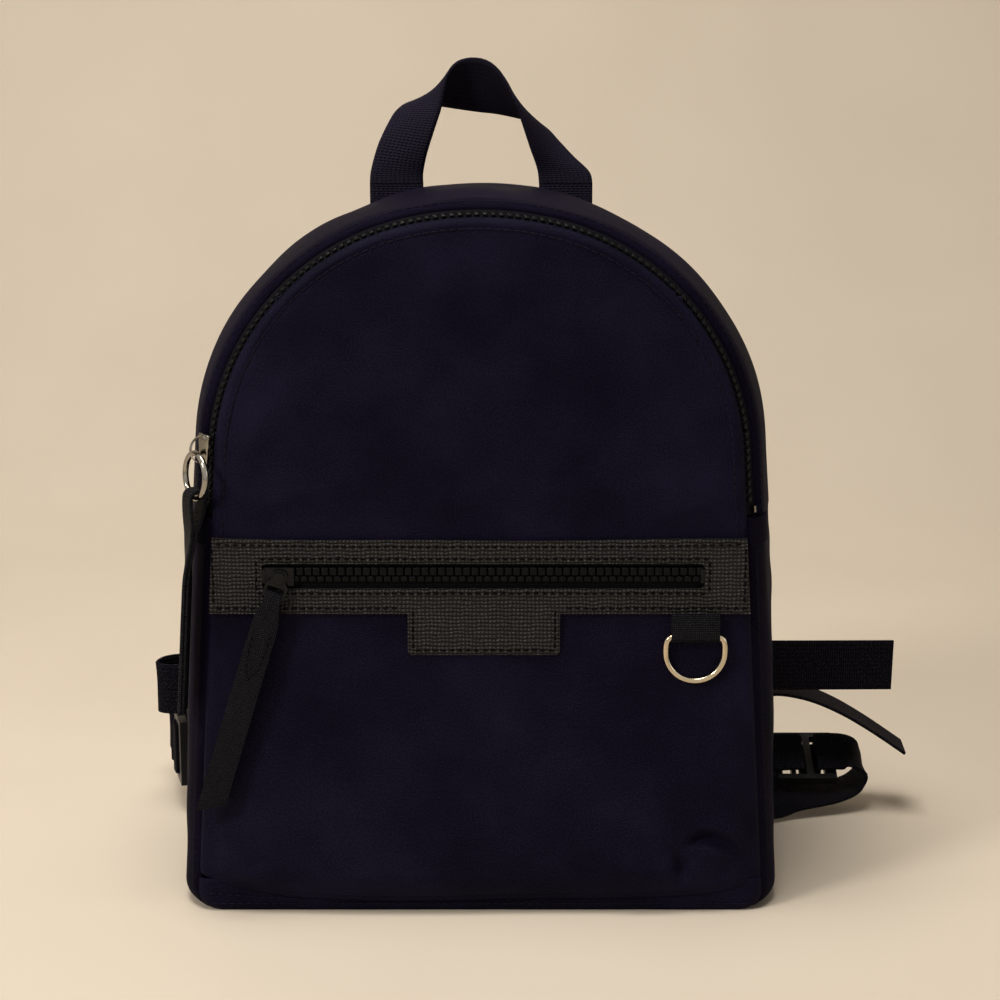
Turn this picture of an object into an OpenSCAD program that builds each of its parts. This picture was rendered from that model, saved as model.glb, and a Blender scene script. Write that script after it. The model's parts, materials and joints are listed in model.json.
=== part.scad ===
// City backpack in nylon with leather trims.
// Millimetres, +Z up, front towards -Y, origin under the middle of the base.

/* [Bag] */
// Depth from the front face to the back face
depth = 115; // [100:1:130]
// Width across the base
base_w = 264; // [256:1:272]
// Width across the shoulders of the arch
shoulder_w = 238; // [235:1:242]
// Height of the body without its handle
body_h = 314; // [304:1:324]
// Radius of the crown of the arch
crown_r = 144; // [138:1:150]
// Radius of each shoulder of the arch
shoulder_r = 112; // [108:1:115]
// Height of the fold on which the front opens
fold_z = 179; // [176:1:190]
// Bulge of the sides at mid depth
side_bulge = 9; // [7:1:11]
// How far the front face is narrower on each side than the full outline
edge_in = 7; // [6:0.5:8]
// Depth over which the front edge rounds to the full outline
edge_back = 16; // [14:1:20]
// Bulge of the crown at mid depth
crown_bulge = 3; // [0:0.5:5]
// Radius of the lower corners
corner_r = 9; // [6:1:14]

/* [Cloth, lining and stiffening] */
// Thickness of the nylon with its coating
cloth_t = 1.2; // [0.8:0.1:1.6]
// Thickness of the lining
lining_t = 0.8; // [0.6:0.1:1]
// Thickness of the foam in the back
back_foam_t = 8; // [5:0.5:9]
// Thickness of the board in the base
board_t = 2; // [1:0.5:3]
// Depth of the front pocket
pocket_depth = 9; // [7:0.5:11]
// Height of the hem along the foot of the front
hem_h = 16; // [10:1:20]

/* [Main zip] */
// Distance of the zip behind the front face
zip_back = 5; // [4.8:0.2:6]
// Width of the channel between the two cloth edges
zip_channel = 6.4; // [6:0.1:6.6]
// Width of the zip tape on the bag's side
tape_w = 9; // [8:0.5:12]
// Thickness of a zip tape
tape_t = 0.8; // [0.6:0.1:1]
// Width of the chain of teeth
chain_w = 3; // [2.8:0.1:4]
// Height of the chain above its tape
chain_t = 1.8; // [1.4:0.1:2]
// Height of the slider on the left side
slider_z = 209; // [206:1:212]
// Length of the slider
slider_l = 13; // [11:0.5:15]
// Outer diameter of the pull ring
ring_d = 22; // [19:0.5:24]
// Wire diameter of the pull ring
ring_wire = 2.6; // [2:0.1:2.8]
// Angle between the ring and the face of the zip
ring_turn = -7; // [-12:1:-2]
// Length of the leather pull on the ring
main_pull_l = 96; // [80:1:105]
// Thickness of one layer of a leather pull
pull_t = 1.6; // [1.2:0.1:1.7]
// Width of the leather pulls
pull_w = 12; // [10:0.5:13]

/* [Leather band and pocket zip] */
// Height of the lower edge of the band
band_z = 137.5; // [134:0.5:140]
// Height of the band
band_h = 33.5; // [31:0.5:36]
// Thickness of the leather
leather_t = 1.6; // [1.2:0.1:1.8]
// Width of the patch under the band
patch_w = 66; // [50:1:80]
// Height of the patch under the band
patch_h = 18.5; // [14:0.5:22]
// Length of the zip window in the band
window_l = 191; // [170:1:200]
// Height of the zip window in the band
window_h = 11; // [10:0.5:12]
// Distance of the left end of the window from the middle
window_left = 94; // [88:1:96]
// Distance of the pocket slider from the left end of the window
slider_in = 8; // [7:0.5:12]
// Length of the leather pull of the pocket
pocket_pull_l = 104; // [80:1:110]
// Slant of the leather pull of the pocket from the vertical
pocket_pull_slant = 19; // [0:1:24]

/* [D ring] */
// Distance of the D ring to the right of the middle
d_x = 93.5; // [80:0.5:95]
// Outer width of the D ring
d_w = 28; // [26:0.5:30]
// Wire diameter of the D ring
d_wire = 2.4; // [2:0.1:2.8]
// Height of the D ring from its bar to its foot
d_h = 21; // [19:0.5:24]
// Width of the leather tab that holds it
d_tab_w = 21; // [18:0.5:22]

/* [Straps] */
// Width of the webbing
web_w = 25; // [23:0.5:26]
// Thickness of the webbing
web_t = 1.4; // [1:0.1:1.6]
// Thickness of a shoulder pad
pad_t = 10; // [8:0.5:12]
// Width of a shoulder pad at its top
pad_w = 56; // [48:1:60]
// Width of a shoulder pad at its lower end
pad_end_w = 30; // [27:1:34]
// Outer width of a ladder lock
lock_w = 33; // [31.5:0.5:35]
// Thickness of a ladder lock
lock_t = 4; // [3.6:0.1:4.4]
// Height of the anchors of the lower webbing
anchor_z = 18; // [16:1:22]
// Height of the handle above the body
handle_h = 57; // [50:1:65]
// Half the distance between the feet of the handle
handle_foot_x = 39.5; // [36:0.5:44]

/* [Hidden] */
$fn = 48;
// Gap between layers that lie on each other, and between pieces that move
layer_gap = 0.1;
move_gap = 0.3;
pin_gap = 0.06;

front_y = -depth / 2;
back_y = depth / 2;
zip_y = front_y + zip_back;
// Depth at which the front sheets end against the rounded edge
face_edge_y = front_y + cloth_t;
shoulder_cx = shoulder_w / 2 - shoulder_r;
crown_cz = body_h - crown_r;
shoulder_cz = crown_cz + sqrt(pow(crown_r - shoulder_r, 2) - pow(shoulder_cx, 2));
join_a = atan2(shoulder_cz - crown_cz, shoulder_cx);
to_base = [base_w / 2 - shoulder_cx, -shoulder_cz];
lean = atan2(to_base[1], to_base[0]) + acos(shoulder_r / norm(to_base));
// Height at which the arc of the shoulder meets the straight side
arc_z = shoulder_cz + shoulder_r * sin(lean);
shoulder_steps = 13;
crown_steps = 8;

// Inner faces, one behind the other
back_foam_y = back_y - cloth_t - back_foam_t;
back_lining_y = back_foam_y - lining_t;
pocket_lining_y = front_y + cloth_t + pocket_depth;
lining_inset = -cloth_t - tape_t - 3 * layer_gap;
inner_inset = lining_inset - lining_t - move_gap;

// Pocket window in the front
window_x = -window_left;
window_z = band_z + (band_h - window_h) / 2;
chain_z = window_z + window_h / 2;
window_margin = 3;
pocket_top_z = window_z - window_margin;
facing_z = window_z + window_h + window_margin;
pocket_slider_x = window_x + slider_in;

// ---- Outline of the bag -------------------------------------------------

function turned(list) = [for (i = [len(list) - 1:-1:0]) list[i]];

// Share of the bulge at a depth: none at the front and the back, full at mid depth
function puff(y) = sin(180 * (y - front_y) / depth);

// How far the rounded front edge lies inside the full outline
function rounded(y) = edge_in * pow(max(0, 1 - (y - front_y) / edge_back), 2);

// Outward offset of the outline at a depth, for a bulge given at mid depth
function swell(y, bulge) = puff(y) * bulge - rounded(y);

// Bulge where the outward normal stands at angle a, and lower down the sides
function bulge_at(a) = side_bulge + (crown_bulge - side_bulge) * pow(sin(a), 2);
function side_share(z) = 0.45 + 0.55 * min(1, z / 110);

// Half width of the straight side at height z, grown outwards
function side_x(z, grow = 0) = base_w / 2 + (grow - z * sin(lean)) / cos(lean);

// Outer face of the side at depth y and height z, grown outwards
function wall_x(y, z, grow = 0) = side_x(z, swell(y, side_bulge * side_share(z))) + grow;

// Half width of the flat front at height z
function face_x(z) = wall_x(face_edge_y, z);

// Right half of the arch at depth y, from height z0 up to the crown
function arch_side(y, inset, z0) =
    let (a0 = z0 > arc_z ? asin((z0 - shoulder_cz) / shoulder_r) : lean)
    concat(
        z0 > arc_z ? [] : [[side_x(z0, inset + swell(y, bulge_at(lean))), z0]],
        [for (i = [0:shoulder_steps])
            let (a = a0 + (join_a - a0) * i / shoulder_steps)
            let (r = shoulder_r + inset + swell(y, bulge_at(a)))
            [shoulder_cx + r * cos(a), shoulder_cz + r * sin(a)]],
        [for (i = [1:crown_steps / 2])
            let (a = join_a + (90 - join_a) * i / (crown_steps / 2))
            let (r = crown_r + inset + swell(y, bulge_at(a)))
            [r * cos(a), crown_cz + r * sin(a)]]);

function flipped(list) = [for (p = turned(list)) [-p[0], p[1]]];

// Whole arch from right to left
function arch(y, inset, z0) =
    let (half = arch_side(y, inset, z0))
    concat(half, [for (i = [1:len(half) - 1]) flipped(half)[i]]);

// Right half of the lower outline, from height z1 down to the base
function lower_side(y, inset, z1) = concat(
    [for (z = [z1, 130, 90, 50, 22])
        if (z <= z1)
            [side_x(z, swell(y, side_bulge * side_share(z))) + inset, z]],
    [for (a = [0:22.5:90])
        let (c = side_x(corner_r, swell(y, side_bulge * side_share(corner_r))) - corner_r)
        [c + (corner_r + inset) * cos(a), corner_r - (corner_r + inset) * sin(a)]]);

function lower(y, inset, z1) =
    let (half = lower_side(y, inset, z1))
    concat(half, flipped(half));

// Closed outline of the whole bag
function whole(y, inset) = concat(
    turned(lower(y, inset, 150)),
    [for (p = arch(y, inset, 170)) p]);

// ---- Building helpers ---------------------------------------------------

// Solid through a list of loops. The first half of each loop runs along one side and
// the second half runs back along the other, so the ends close between them in pairs
module loft(loops) {
    n = len(loops[0]);
    m = len(loops);
    far = (m - 1) * n;
    polyhedron(
        points = [for (loop = loops) each loop],
        faces = concat(
            [for (i = [0:n / 2 - 2]) each [[n - 2 - i, i + 1, i], [n - 1 - i, n - 2 - i, i]]],
            [for (i = [0:n / 2 - 2]) each [
                [far + i, far + i + 1, far + n - 2 - i], [far + i, far + n - 2 - i, far + n - 1 - i]]],
            [for (k = [0:m - 2]) for (i = [0:n - 1]) [(k + 1) * n + (i + 1) % n, (k + 1) * n + i, k * n + i]],
            [for (k = [0:m - 2]) for (i = [0:n - 1])
                [k * n + (i + 1) % n, (k + 1) * n + (i + 1) % n, k * n + i]]),
        convexity = 8);
}

// Depths at which every strip has a cross-section, close together at the rounded front edge
depth_steps = concat(
    [for (t = [0.1, 0.18, 0.3, 0.45, 0.6, 0.8, 1]) front_y + edge_back * t],
    [for (t = [0.22, 0.32, 0.42, 0.52, 0.62, 0.72, 0.82, 0.9, 0.96]) front_y + depth * t]);
function stations(y0, y1) = concat([y0], [for (y = depth_steps) if (y > y0 + 0.2 && y < y1 - 0.2) y], [y1]);

// Strip of cloth between two depths that follows the arch
module arch_strip(y0, y1, inset, thick, z0) {
    loft([for (y = stations(y0, y1))
        let (outer = arch(y, inset, z0))
        let (inner = turned(arch(y, inset - thick, z0)))
        [for (p = concat(outer, inner)) [p[0], y, p[1]]]]);
}

// Strip of cloth between two depths that follows the sides and the base
module lower_strip(y0, y1, inset, thick, z1) {
    loft([for (y = stations(y0, y1))
        let (outer = turned(lower(y, inset, z1)))
        let (inner = lower(y, inset - thick, z1))
        [for (p = concat(outer, inner)) [p[0], y, p[1]]]]);
}

// Flat sheet that faces the front, with its front face at depth y
module sheet(outline, y, thick) {
    translate([0, y + thick, 0])
        rotate([90, 0, 0])
            linear_extrude(thick)
                polygon(outline);
}

function unit(v) = v / norm(v);

// Cross-section of a band: width along across, thickness along its normal
function band_loop(route, across, widths, thick, i) =
    let (last = len(route) - 1)
    let (along = unit(route[min(i + 1, last)] - route[max(i - 1, 0)]))
    let (face = unit(cross(along, across[i])))
    let (side = unit(cross(face, along)))
    let (w = side * widths[i] / 2)
    let (t = face * thick / 2)
    [route[i] + w - t, route[i] - w - t, route[i] - w + t, route[i] + w + t];

// Band along a route, each point with its own width direction
module band(route, across, widths, thick) {
    loft([for (i = [0:len(route) - 1]) band_loop(route, across, widths, thick, i)]);
}

// Same width at every point of a route
function all_of(value, route) = [for (p = route) value];

// ---- Front of the bag ---------------------------------------------------

module pocket_panel() {
    color("#14132a")
        sheet(lower(face_edge_y, 0, pocket_top_z), front_y, cloth_t);
}

module zip_facing() {
    top = fold_z - move_gap;
    color("#14132a")
        sheet([
            [face_x(facing_z), facing_z], [face_x(top), top],
            [-face_x(top), top], [-face_x(facing_z), facing_z]], front_y, cloth_t);
}

module pocket_lining() {
    color("#2a2a30")
        sheet(lower(pocket_lining_y, inner_inset, fold_z - 2 * move_gap), pocket_lining_y, lining_t);
}

module leather_band() {
    top = band_z + band_h;
    edge = 1;
    color("#0e0e10")
        difference() {
            union() {
                sheet([
                    [face_x(band_z) - edge, band_z], [face_x(top) - edge, top],
                    [edge - face_x(top), top], [edge - face_x(band_z), band_z]],
                    front_y - leather_t, leather_t);
                translate([-patch_w / 2, front_y - leather_t, band_z - patch_h])
                    cube([patch_w, leather_t, patch_h + 1]);
            }
            translate([window_x, front_y - leather_t - 1, window_z])
                cube([window_l, leather_t + 2, window_h]);
        }
}

module hem_band() {
    foot = 2;
    color("#121124")
        sheet([
            [face_x(foot) - corner_r, foot], [face_x(hem_h) - 2, hem_h],
            [2 - face_x(hem_h), hem_h], [corner_r - face_x(foot), foot]], front_y - cloth_t, cloth_t);
}

module pocket_zip_tapes() {
    half = (window_h + 2 * window_margin) / 2;
    color("#0b0b0c")
        for (z = [pocket_top_z, chain_z])
            translate([window_x - window_margin, front_y, z])
                cube([window_l + 2 * window_margin, tape_t, half]);
}

module pocket_zip_teeth() {
    color("#26262a")
        for (z = [chain_z - chain_w / 2, chain_z])
            translate([window_x, front_y - chain_t / 2, z])
                cube([window_l, chain_t / 2, chain_w / 2]);
}

module pocket_zip_stops() {
    stop = 1.6;
    color("#9a9a9e")
        for (x = [window_x + layer_gap, window_x + window_l - stop - layer_gap])
            translate([x, front_y - chain_t / 2 - stop / 2 - layer_gap, chain_z - chain_w])
                cube([stop, stop / 2, 2 * chain_w]);
}

// ---- Shell of the bag ---------------------------------------------------

module lower_gusset() {
    color("#16152c")
        lower_strip(face_edge_y, back_y - cloth_t, 0, cloth_t, fold_z - move_gap);
}

module top_gusset() {
    color("#191828")
        arch_strip(zip_y + zip_channel / 2, back_y - cloth_t, 0, cloth_t, fold_z);
}

module main_lining() {
    start = pocket_lining_y + lining_t + move_gap;
    color("#2a2a30") {
        lower_strip(start, back_lining_y - move_gap, lining_inset, lining_t, fold_z - move_gap);
        arch_strip(zip_y + zip_channel / 2, back_lining_y - move_gap, lining_inset, lining_t, fold_z);
    }
}

module base_board() {
    z = -lining_inset + lining_t;
    side = corner_r + 4;
    y0 = pocket_lining_y + lining_t + 2;
    color("#1c1c1e")
        translate([side - base_w / 2, y0, z])
            cube([base_w - 2 * side, back_lining_y - 2 - y0, board_t]);
}

module back_panel() {
    color("#15142a")
        sheet(whole(back_y, 0), back_y - cloth_t, cloth_t);
}

module back_foam() {
    color("#38383c")
        sheet(whole(back_y, inner_inset), back_foam_y, back_foam_t);
}

module back_lining() {
    color("#2a2a30")
        sheet(whole(back_y, inner_inset), back_lining_y, lining_t);
}

// ---- Main zip -----------------------------------------------------------

tape_inset = -cloth_t - 2 * layer_gap;
chain_inset = tape_inset + layer_gap + chain_t;

module gusset_zip_tape() {
    color("#0b0b0c")
        arch_strip(zip_y + layer_gap, zip_y + tape_w, tape_inset, tape_t, fold_z);
}

module gusset_zip_teeth() {
    color("#8d8d92")
        arch_strip(zip_y + layer_gap, zip_y + chain_w / 2, chain_inset, chain_t, fold_z + 6);
}

// The flap's half of the zip starts just above the parked slider, so the flap opens past the puller
flap_zip_z = slider_z + slider_l / 2 + 2;

module flap_zip_tape() {
    color("#0b0b0c")
        arch_strip(face_edge_y + lining_t + layer_gap, zip_y - layer_gap, tape_inset, tape_t, flap_zip_z);
}

module flap_zip_teeth() {
    color("#8d8d92")
        arch_strip(zip_y - chain_w / 2, zip_y - layer_gap, chain_inset, chain_t, flap_zip_z);
}

// Outward and upward place on the side of the bag at the zip
function zip_side_x(z) = side_x(z, chain_inset + swell(zip_y, bulge_at(lean)));

// Flat pieces that lie against the bulging side at the zip, on both sides of the bag
module on_sides(z, grow) {
    for (side = [0, 1])
        mirror([side, 0, 0])
            translate([side_x(z, grow + swell(zip_y, side_bulge)), zip_y, z])
                rotate([0, -lean, 0])
                    rotate([0, 0, -zip_turn])
                        children();
}

// Patch of cloth on the right side, between two depths and two heights
module side_patch(y0, y1, z0, z1, grow, thick) {
    loft([for (y = stations(y0, y1)) [
        [wall_x(y, z0, grow + thick), y, z0], [wall_x(y, z1, grow + thick), y, z1],
        [wall_x(y, z1, grow), y, z1], [wall_x(y, z0, grow), y, z0]]]);
}

module zip_end_tabs() {
    tab_h = 12;
    tab_t = 0.8;
    top = fold_z - move_gap;
    color("#14132a")
        for (side = [0, 1])
            mirror([side, 0, 0])
                side_patch(
                    zip_y - zip_channel / 2, zip_y + 2 * zip_channel, top - tab_h, top, layer_gap, tab_t);
}

module main_zip_stops() {
    stop = 1.4;
    color("#9a9a9e")
        on_sides(fold_z + 2, tape_inset + 3 * layer_gap)
            translate([0, layer_gap, 0])
                cube([stop, chain_w / 2, 2 * stop]);
}

// Turn of the zip's face towards the front, where the side already bulges
zip_turn = atan(side_bulge * cos(180 * zip_back / depth) * PI / depth
    + 2 * edge_in / edge_back * (1 - zip_back / edge_back));

// Frame of the slider: X outwards from the left side, Y towards the back, Z up along the zip
module at_slider() {
    mirror([1, 0, 0])
        translate([zip_side_x(slider_z), zip_y, slider_z])
            rotate([0, -lean, 0])
                rotate([0, 0, -zip_turn])
                    children();
}

slider_plate = 1.5;
slider_half = 3;
wing_h = 0.9;
wing_t = 0.65;
slider_face = move_gap + slider_plate;
bail_hole_r = ring_wire + 2.6;
bail_wall = 1.8;
bail_w = 2;
ring_r = (ring_d - ring_wire) / 2;
ring_out = slider_face + bail_hole_r - ring_wire / 2 - 0.7;
ring_drop = bail_hole_r / 2 - 0.9;

module main_slider() {
    color("#c9c7c0")
        at_slider() {
            translate([move_gap, -slider_half, -slider_l / 2])
                cube([slider_plate, 2 * slider_half, slider_l]);
            // Wing that reaches down beside the teeth on the bag's side of the zip
            translate([-wing_h, slider_half - wing_t, -slider_l / 2])
                cube([wing_h + move_gap, wing_t, slider_l]);
            // Bail that carries the ring
            translate([slider_face, 0, 0])
                rotate([90, 0, 0])
                    translate([0, 0, -bail_w / 2])
                        difference() {
                            cylinder(r = bail_hole_r + bail_wall, h = bail_w);
                            translate([0, 0, -1])
                                cylinder(r = bail_hole_r, h = bail_w + 2);
                            translate([-3 * bail_hole_r, -2 * bail_hole_r, -1])
                                cube([3 * bail_hole_r, 4 * bail_hole_r, bail_w + 2]);
                        }
        }
}

// Frame of the ring: its centre, with Y along the ring's own plane
module at_ring() {
    at_slider()
        translate([ring_out, 0, -ring_drop - ring_r])
            rotate([0, 0, -ring_turn])
                children();
}

module main_pull_ring() {
    color("#d2cdbf")
        at_ring()
            rotate([0, 90, 0])
                rotate_extrude()
                    translate([ring_r, 0])
                        circle(d = ring_wire, $fn = 24);
}

pull_fold_w = 8;
pull_fold_r = ring_wire / 2 + 1.1;

module main_puller() {
    out = pull_fold_r + pull_t;
    // The two layers lie together below the fold and turn edge-on as they hang
    route = [
        [0, 0, 1 - out], [0.7, 0, -out - 8], [1.6, 0, -out - 18], [2.1, 0, -out - 30],
        [2.2, 0, -main_pull_l * 0.7], [2.2, 0, -main_pull_l]];
    turn = [0, 0.1, 0.5, 0.9, 1, 1];
    across = [for (t = turn) [-sin(t * (ring_turn + zip_turn)), cos(t * (ring_turn + zip_turn)), 0]];
    widths = [for (t = turn) t > 0 ? pull_w : pull_fold_w];
    color("#101012")
        at_ring()
            translate([0, 0, -ring_r]) {
                rotate([90, 0, 0])
                    translate([0, 0, -pull_fold_w / 2])
                        difference() {
                            cylinder(r = out, h = pull_fold_w);
                            translate([0, 0, -1])
                                cylinder(r = pull_fold_r, h = pull_fold_w + 2);
                        }
                band(route, across, widths, 2 * pull_t);
            }
}

// ---- Flap ---------------------------------------------------------------

module flap_panel() {
    color("#13122a")
        sheet(arch(face_edge_y, 0, fold_z + move_gap), front_y, cloth_t);
}

module flap_lining() {
    color("#2a2a30")
        sheet(arch(face_edge_y, inner_inset, fold_z + move_gap), face_edge_y, lining_t);
}

module flap_rim() {
    color("#15142a")
        arch_strip(face_edge_y, zip_y - zip_channel / 2, 0, cloth_t, fold_z + move_gap);
}

// ---- Pocket slider and its pull ------------------------------------------

pocket_slider_l = 12;
pocket_slider_h = 8;
pocket_slider_y = front_y - chain_t / 2 - layer_gap - move_gap;
link_t = 1.2;
link_bar = 1.6;
link_l = 9;
link_half = 5;
stud_r = 1.6;
eye_r = 3.2;
pull_out = link_bar / 2 + pin_gap + pull_t;
stud_pin = [pocket_slider_x, front_y - leather_t - move_gap - pull_out, chain_z];

module pocket_slider() {
    out = pocket_slider_y - stud_pin[1];
    head = 0.8;
    color("#141416")
        translate([pocket_slider_x, pocket_slider_y, chain_z]) {
            translate([-pocket_slider_l / 2, -slider_plate, -pocket_slider_h / 2])
                cube([pocket_slider_l, slider_plate, pocket_slider_h]);
            rotate([90, 0, 0]) {
                cylinder(r = stud_r, h = out + link_t / 2 + move_gap + head);
                translate([0, 0, out + link_t / 2 + move_gap])
                    cylinder(r = eye_r - 0.6, h = head);
            }
        }
}

// Frame of the pull: on the stud, slanted with the leather that hangs from it
module at_pull() {
    translate(stud_pin)
        rotate([0, pocket_pull_slant, 0])
            children();
}

module pocket_pull_link() {
    color("#17171a")
        at_pull() {
            difference() {
                rotate([90, 0, 0])
                    translate([0, 0, -link_t / 2])
                        linear_extrude(link_t)
                            polygon([
                                [-stud_r, eye_r], [stud_r, eye_r], [eye_r, stud_r], [eye_r, -stud_r],
                                [link_half, -eye_r - 0.4], [link_half, -link_l],
                                [link_half - link_t, -link_l],
                                [link_half - link_t, -eye_r - link_t], [link_t - link_half, -eye_r - link_t],
                                [link_t - link_half, -link_l],
                                [-link_half, -link_l], [-link_half, -eye_r - 0.4],
                                [-eye_r, -stud_r], [-eye_r, stud_r]]);
                rotate([90, 0, 0])
                    translate([0, 0, -link_t])
                        cylinder(r = stud_r + pin_gap, h = 2 * link_t);
            }
            translate([-link_half, 0, -link_l])
                rotate([0, 90, 0])
                    cylinder(d = link_bar, h = 2 * link_half);
        }
}

pocket_fold_w = 7;

module pocket_puller() {
    shoulder = 5;
    color("#0f0f11")
        at_pull()
            translate([0, 0, -link_l])
                difference() {
                    union() {
                        translate([-pocket_fold_w / 2, 0, 0])
                            rotate([0, 90, 0])
                                cylinder(r = pull_out, h = pocket_fold_w);
                        rotate([90, 0, 0])
                            translate([0, 0, -pull_t])
                                linear_extrude(2 * pull_t)
                                    polygon([
                                        [-pocket_fold_w / 2, 0], [-pull_w / 2, -shoulder],
                                        [-pull_w / 2, -pocket_pull_l],
                                        [pull_w / 2, -pocket_pull_l + pull_w * 0.6],
                                        [pull_w / 2, -shoulder], [pocket_fold_w / 2, 0]]);
                    }
                    translate([-pull_w, 0, 0])
                        rotate([0, 90, 0])
                            cylinder(r = link_bar / 2 + pin_gap, h = 2 * pull_w);
                }
}

// ---- D ring ---------------------------------------------------------------

d_leather = 1.2;
d_pin = [d_x, front_y - move_gap - d_wire / 2 - d_leather, band_z - 10];

module d_ring_tab() {
    outer = d_wire / 2 + d_leather;
    color("#101012")
        difference() {
            union() {
                translate(d_pin - [d_tab_w / 2, 0, 0])
                    rotate([0, 90, 0])
                        cylinder(r = outer, h = d_tab_w);
                translate([d_x - d_tab_w / 2, front_y - 2 * d_leather, d_pin[2]])
                    cube([d_tab_w, 2 * d_leather, band_z - d_pin[2]]);
            }
            translate(d_pin - [d_tab_w, 0, 0])
                rotate([0, 90, 0])
                    cylinder(d = d_wire + 2 * pin_gap, h = 2 * d_tab_w);
        }
}

module d_ring() {
    bend = (d_w - d_wire) / 2;
    leg = d_h - d_w / 2;
    color("#cfc7b4")
        translate(d_pin) {
            translate([-bend, 0, 0])
                rotate([0, 90, 0])
                    cylinder(d = d_wire, h = 2 * bend);
            for (x = [-bend, bend]) {
                translate([x, 0, 0])
                    sphere(d = d_wire);
                translate([x, 0, -leg])
                    cylinder(d = d_wire, h = leg);
            }
            translate([0, 0, -leg])
                rotate([90, 0, 0])
                    rotate([0, 0, 180])
                        rotate_extrude(angle = 180)
                            translate([bend, 0])
                                circle(d = d_wire, $fn = 24);
        }
}

// ---- Handle -----------------------------------------------------------------

handle_y = back_y + web_t / 2;
handle_z = body_h - 1;
handle_gap = web_t / 2 + layer_gap;

// Shares of the foot distance and of the height, and the lean towards the back. The strap
// rises flat, turns over near the crown on the left and comes down turning slowly on the right
handle_shape = [
    [-1, 0, 0], [-1, 0.06, 0], [-0.94, 0.17, 0], [-0.81, 0.36, 0], [-0.64, 0.56, 0.5], [-0.43, 0.74, 2],
    [-0.18, 0.81, 4], [0.1, 0.81, 4], [0.35, 0.74, 3.5], [0.56, 0.6, 2.5], [0.72, 0.44, 1.5], [0.86, 0.27, 1],
    [0.96, 0.12, 0], [1, 0.06, 0], [1, 0, 0]];
handle_route = [for (p = handle_shape) [
    p[0] * handle_foot_x,
    handle_y + p[2],
    handle_z + handle_gap + p[1] * handle_h]];
handle_across = [
    [1, 0, 0], [1, 0, 0], [0.95, -0.15, 0], [0.85, -0.25, -0.3], [0.7, -0.5, -0.4], [0.1, -0.95, 0.1],
    [0, -0.7, 0.7], [0, -0.6, 0.8], [0.1, -0.7, 0.7],
    [-0.3, -0.85, 0.3], [-0.6, -0.7, 0], [-0.85, -0.4, -0.1],
    [-1, -0.1, 0], [-1, 0, 0], [-1, 0, 0]];

module handle_tabs() {
    tab_h = 18;
    color("#1b1b30")
        for (x = [-handle_foot_x, handle_foot_x])
            translate([x - web_w / 2, back_y, handle_z - tab_h])
                cube([web_w, web_t, tab_h]);
}

module handle_strap() {
    color("#1b1b30")
        band(handle_route, handle_across, all_of(web_w, handle_route), web_t);
}

// ---- Shoulder straps -----------------------------------------------------------

yoke_z = handle_z - 42;
yoke_h = 20;
yoke_w = 144;
yoke_t = 1.6;
pad_pin_z = yoke_z;

module strap_yoke() {
    color("#15142a")
        translate([-yoke_w / 2, back_y, yoke_z])
            cube([yoke_w, yoke_t, yoke_h]);
}

// Route of a left pad; the right one is its mirror image
pad_y = back_y + yoke_t + move_gap + pad_t / 2;
pad_route = [
    [-40, pad_y, pad_pin_z - move_gap], [-41, pad_y + 13, pad_pin_z - 22], [-45, pad_y + 28, pad_pin_z - 52],
    [-54, pad_y + 36, pad_pin_z - 88], [-66, pad_y + 36, pad_pin_z - 124], [-84, pad_y + 33, pad_pin_z - 158],
    [-104, pad_y + 32, pad_pin_z - 184]];
pad_across = [
    [-1, 0, 0], [-1, 0, 0], [-1, 0, 0.1], [-1, 0, 0.2], [-0.95, 0, 0.3], [-0.85, 0, 0.5], [-0.8, 0, 0.6]];
pad_widths = [for (i = [0:len(pad_route) - 1])
    pad_w + (pad_end_w - pad_w) * pow(i / (len(pad_route) - 1), 2)];
pad_skin = 1;

module pad_solid(shrink) {
    last = len(pad_route) - 1;
    ends = [for (i = [0:last])
        i == 0 ? pad_route[0] + unit(pad_route[1] - pad_route[0]) * shrink
        : i == last ? pad_route[last] - unit(pad_route[last] - pad_route[last - 1]) * shrink
        : pad_route[i]];
    band(ends, pad_across, [for (w = pad_widths) w - 2 * shrink], pad_t - 2 * shrink);
}

module pad() {
    difference() {
        pad_solid(0);
        pad_solid(pad_skin);
    }
}

// Ladder lock, in its own frame: X from the sewn bar to the lip, Y through it, Z across
lock_bar_r = lock_t / 2;
lock_bar_x = -15;
lock_end_x = 15;
lock_slot = web_w + 1.5;
slot_len = 5.5;
mid_bar_x = 2;
mid_bar_w = 3.5;

module ladder_lock() {
    color("#151517")
        difference() {
            union() {
                translate([lock_bar_x + 1.5, -lock_t / 2, -lock_w / 2])
                    cube([lock_end_x - lock_bar_x - 1.5, lock_t, lock_w]);
                for (z = [-lock_w / 2, lock_slot / 2])
                    translate([lock_bar_x, -lock_t / 2, z])
                        cube([3, lock_t, (lock_w - lock_slot) / 2]);
                translate([lock_bar_x, 0, -lock_w / 2])
                    cylinder(r = lock_bar_r, h = lock_w);
            }
            // Slot of the sewn loop
            translate([lock_bar_x + lock_bar_r - 0.5, 0, 0])
                difference() {
                    translate([-lock_bar_r + 0.5, -lock_t, -lock_slot / 2])
                        cube([9 - lock_bar_r + 0.5, 2 * lock_t, lock_slot]);
                    translate([-lock_bar_r + 0.5, 0, -lock_w])
                        cylinder(r = lock_bar_r, h = 2 * lock_w);
                }
            // Slots each side of the middle bar
            for (x = [mid_bar_x - mid_bar_w / 2 - slot_len, mid_bar_x + mid_bar_w / 2])
                translate([x, -lock_t, -lock_slot / 2])
                    cube([slot_len, 2 * lock_t, lock_slot]);
        }
}

// Sewn loop of webbing round the end bar, in the frame of the ladder lock
sewn_l = 9;

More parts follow.
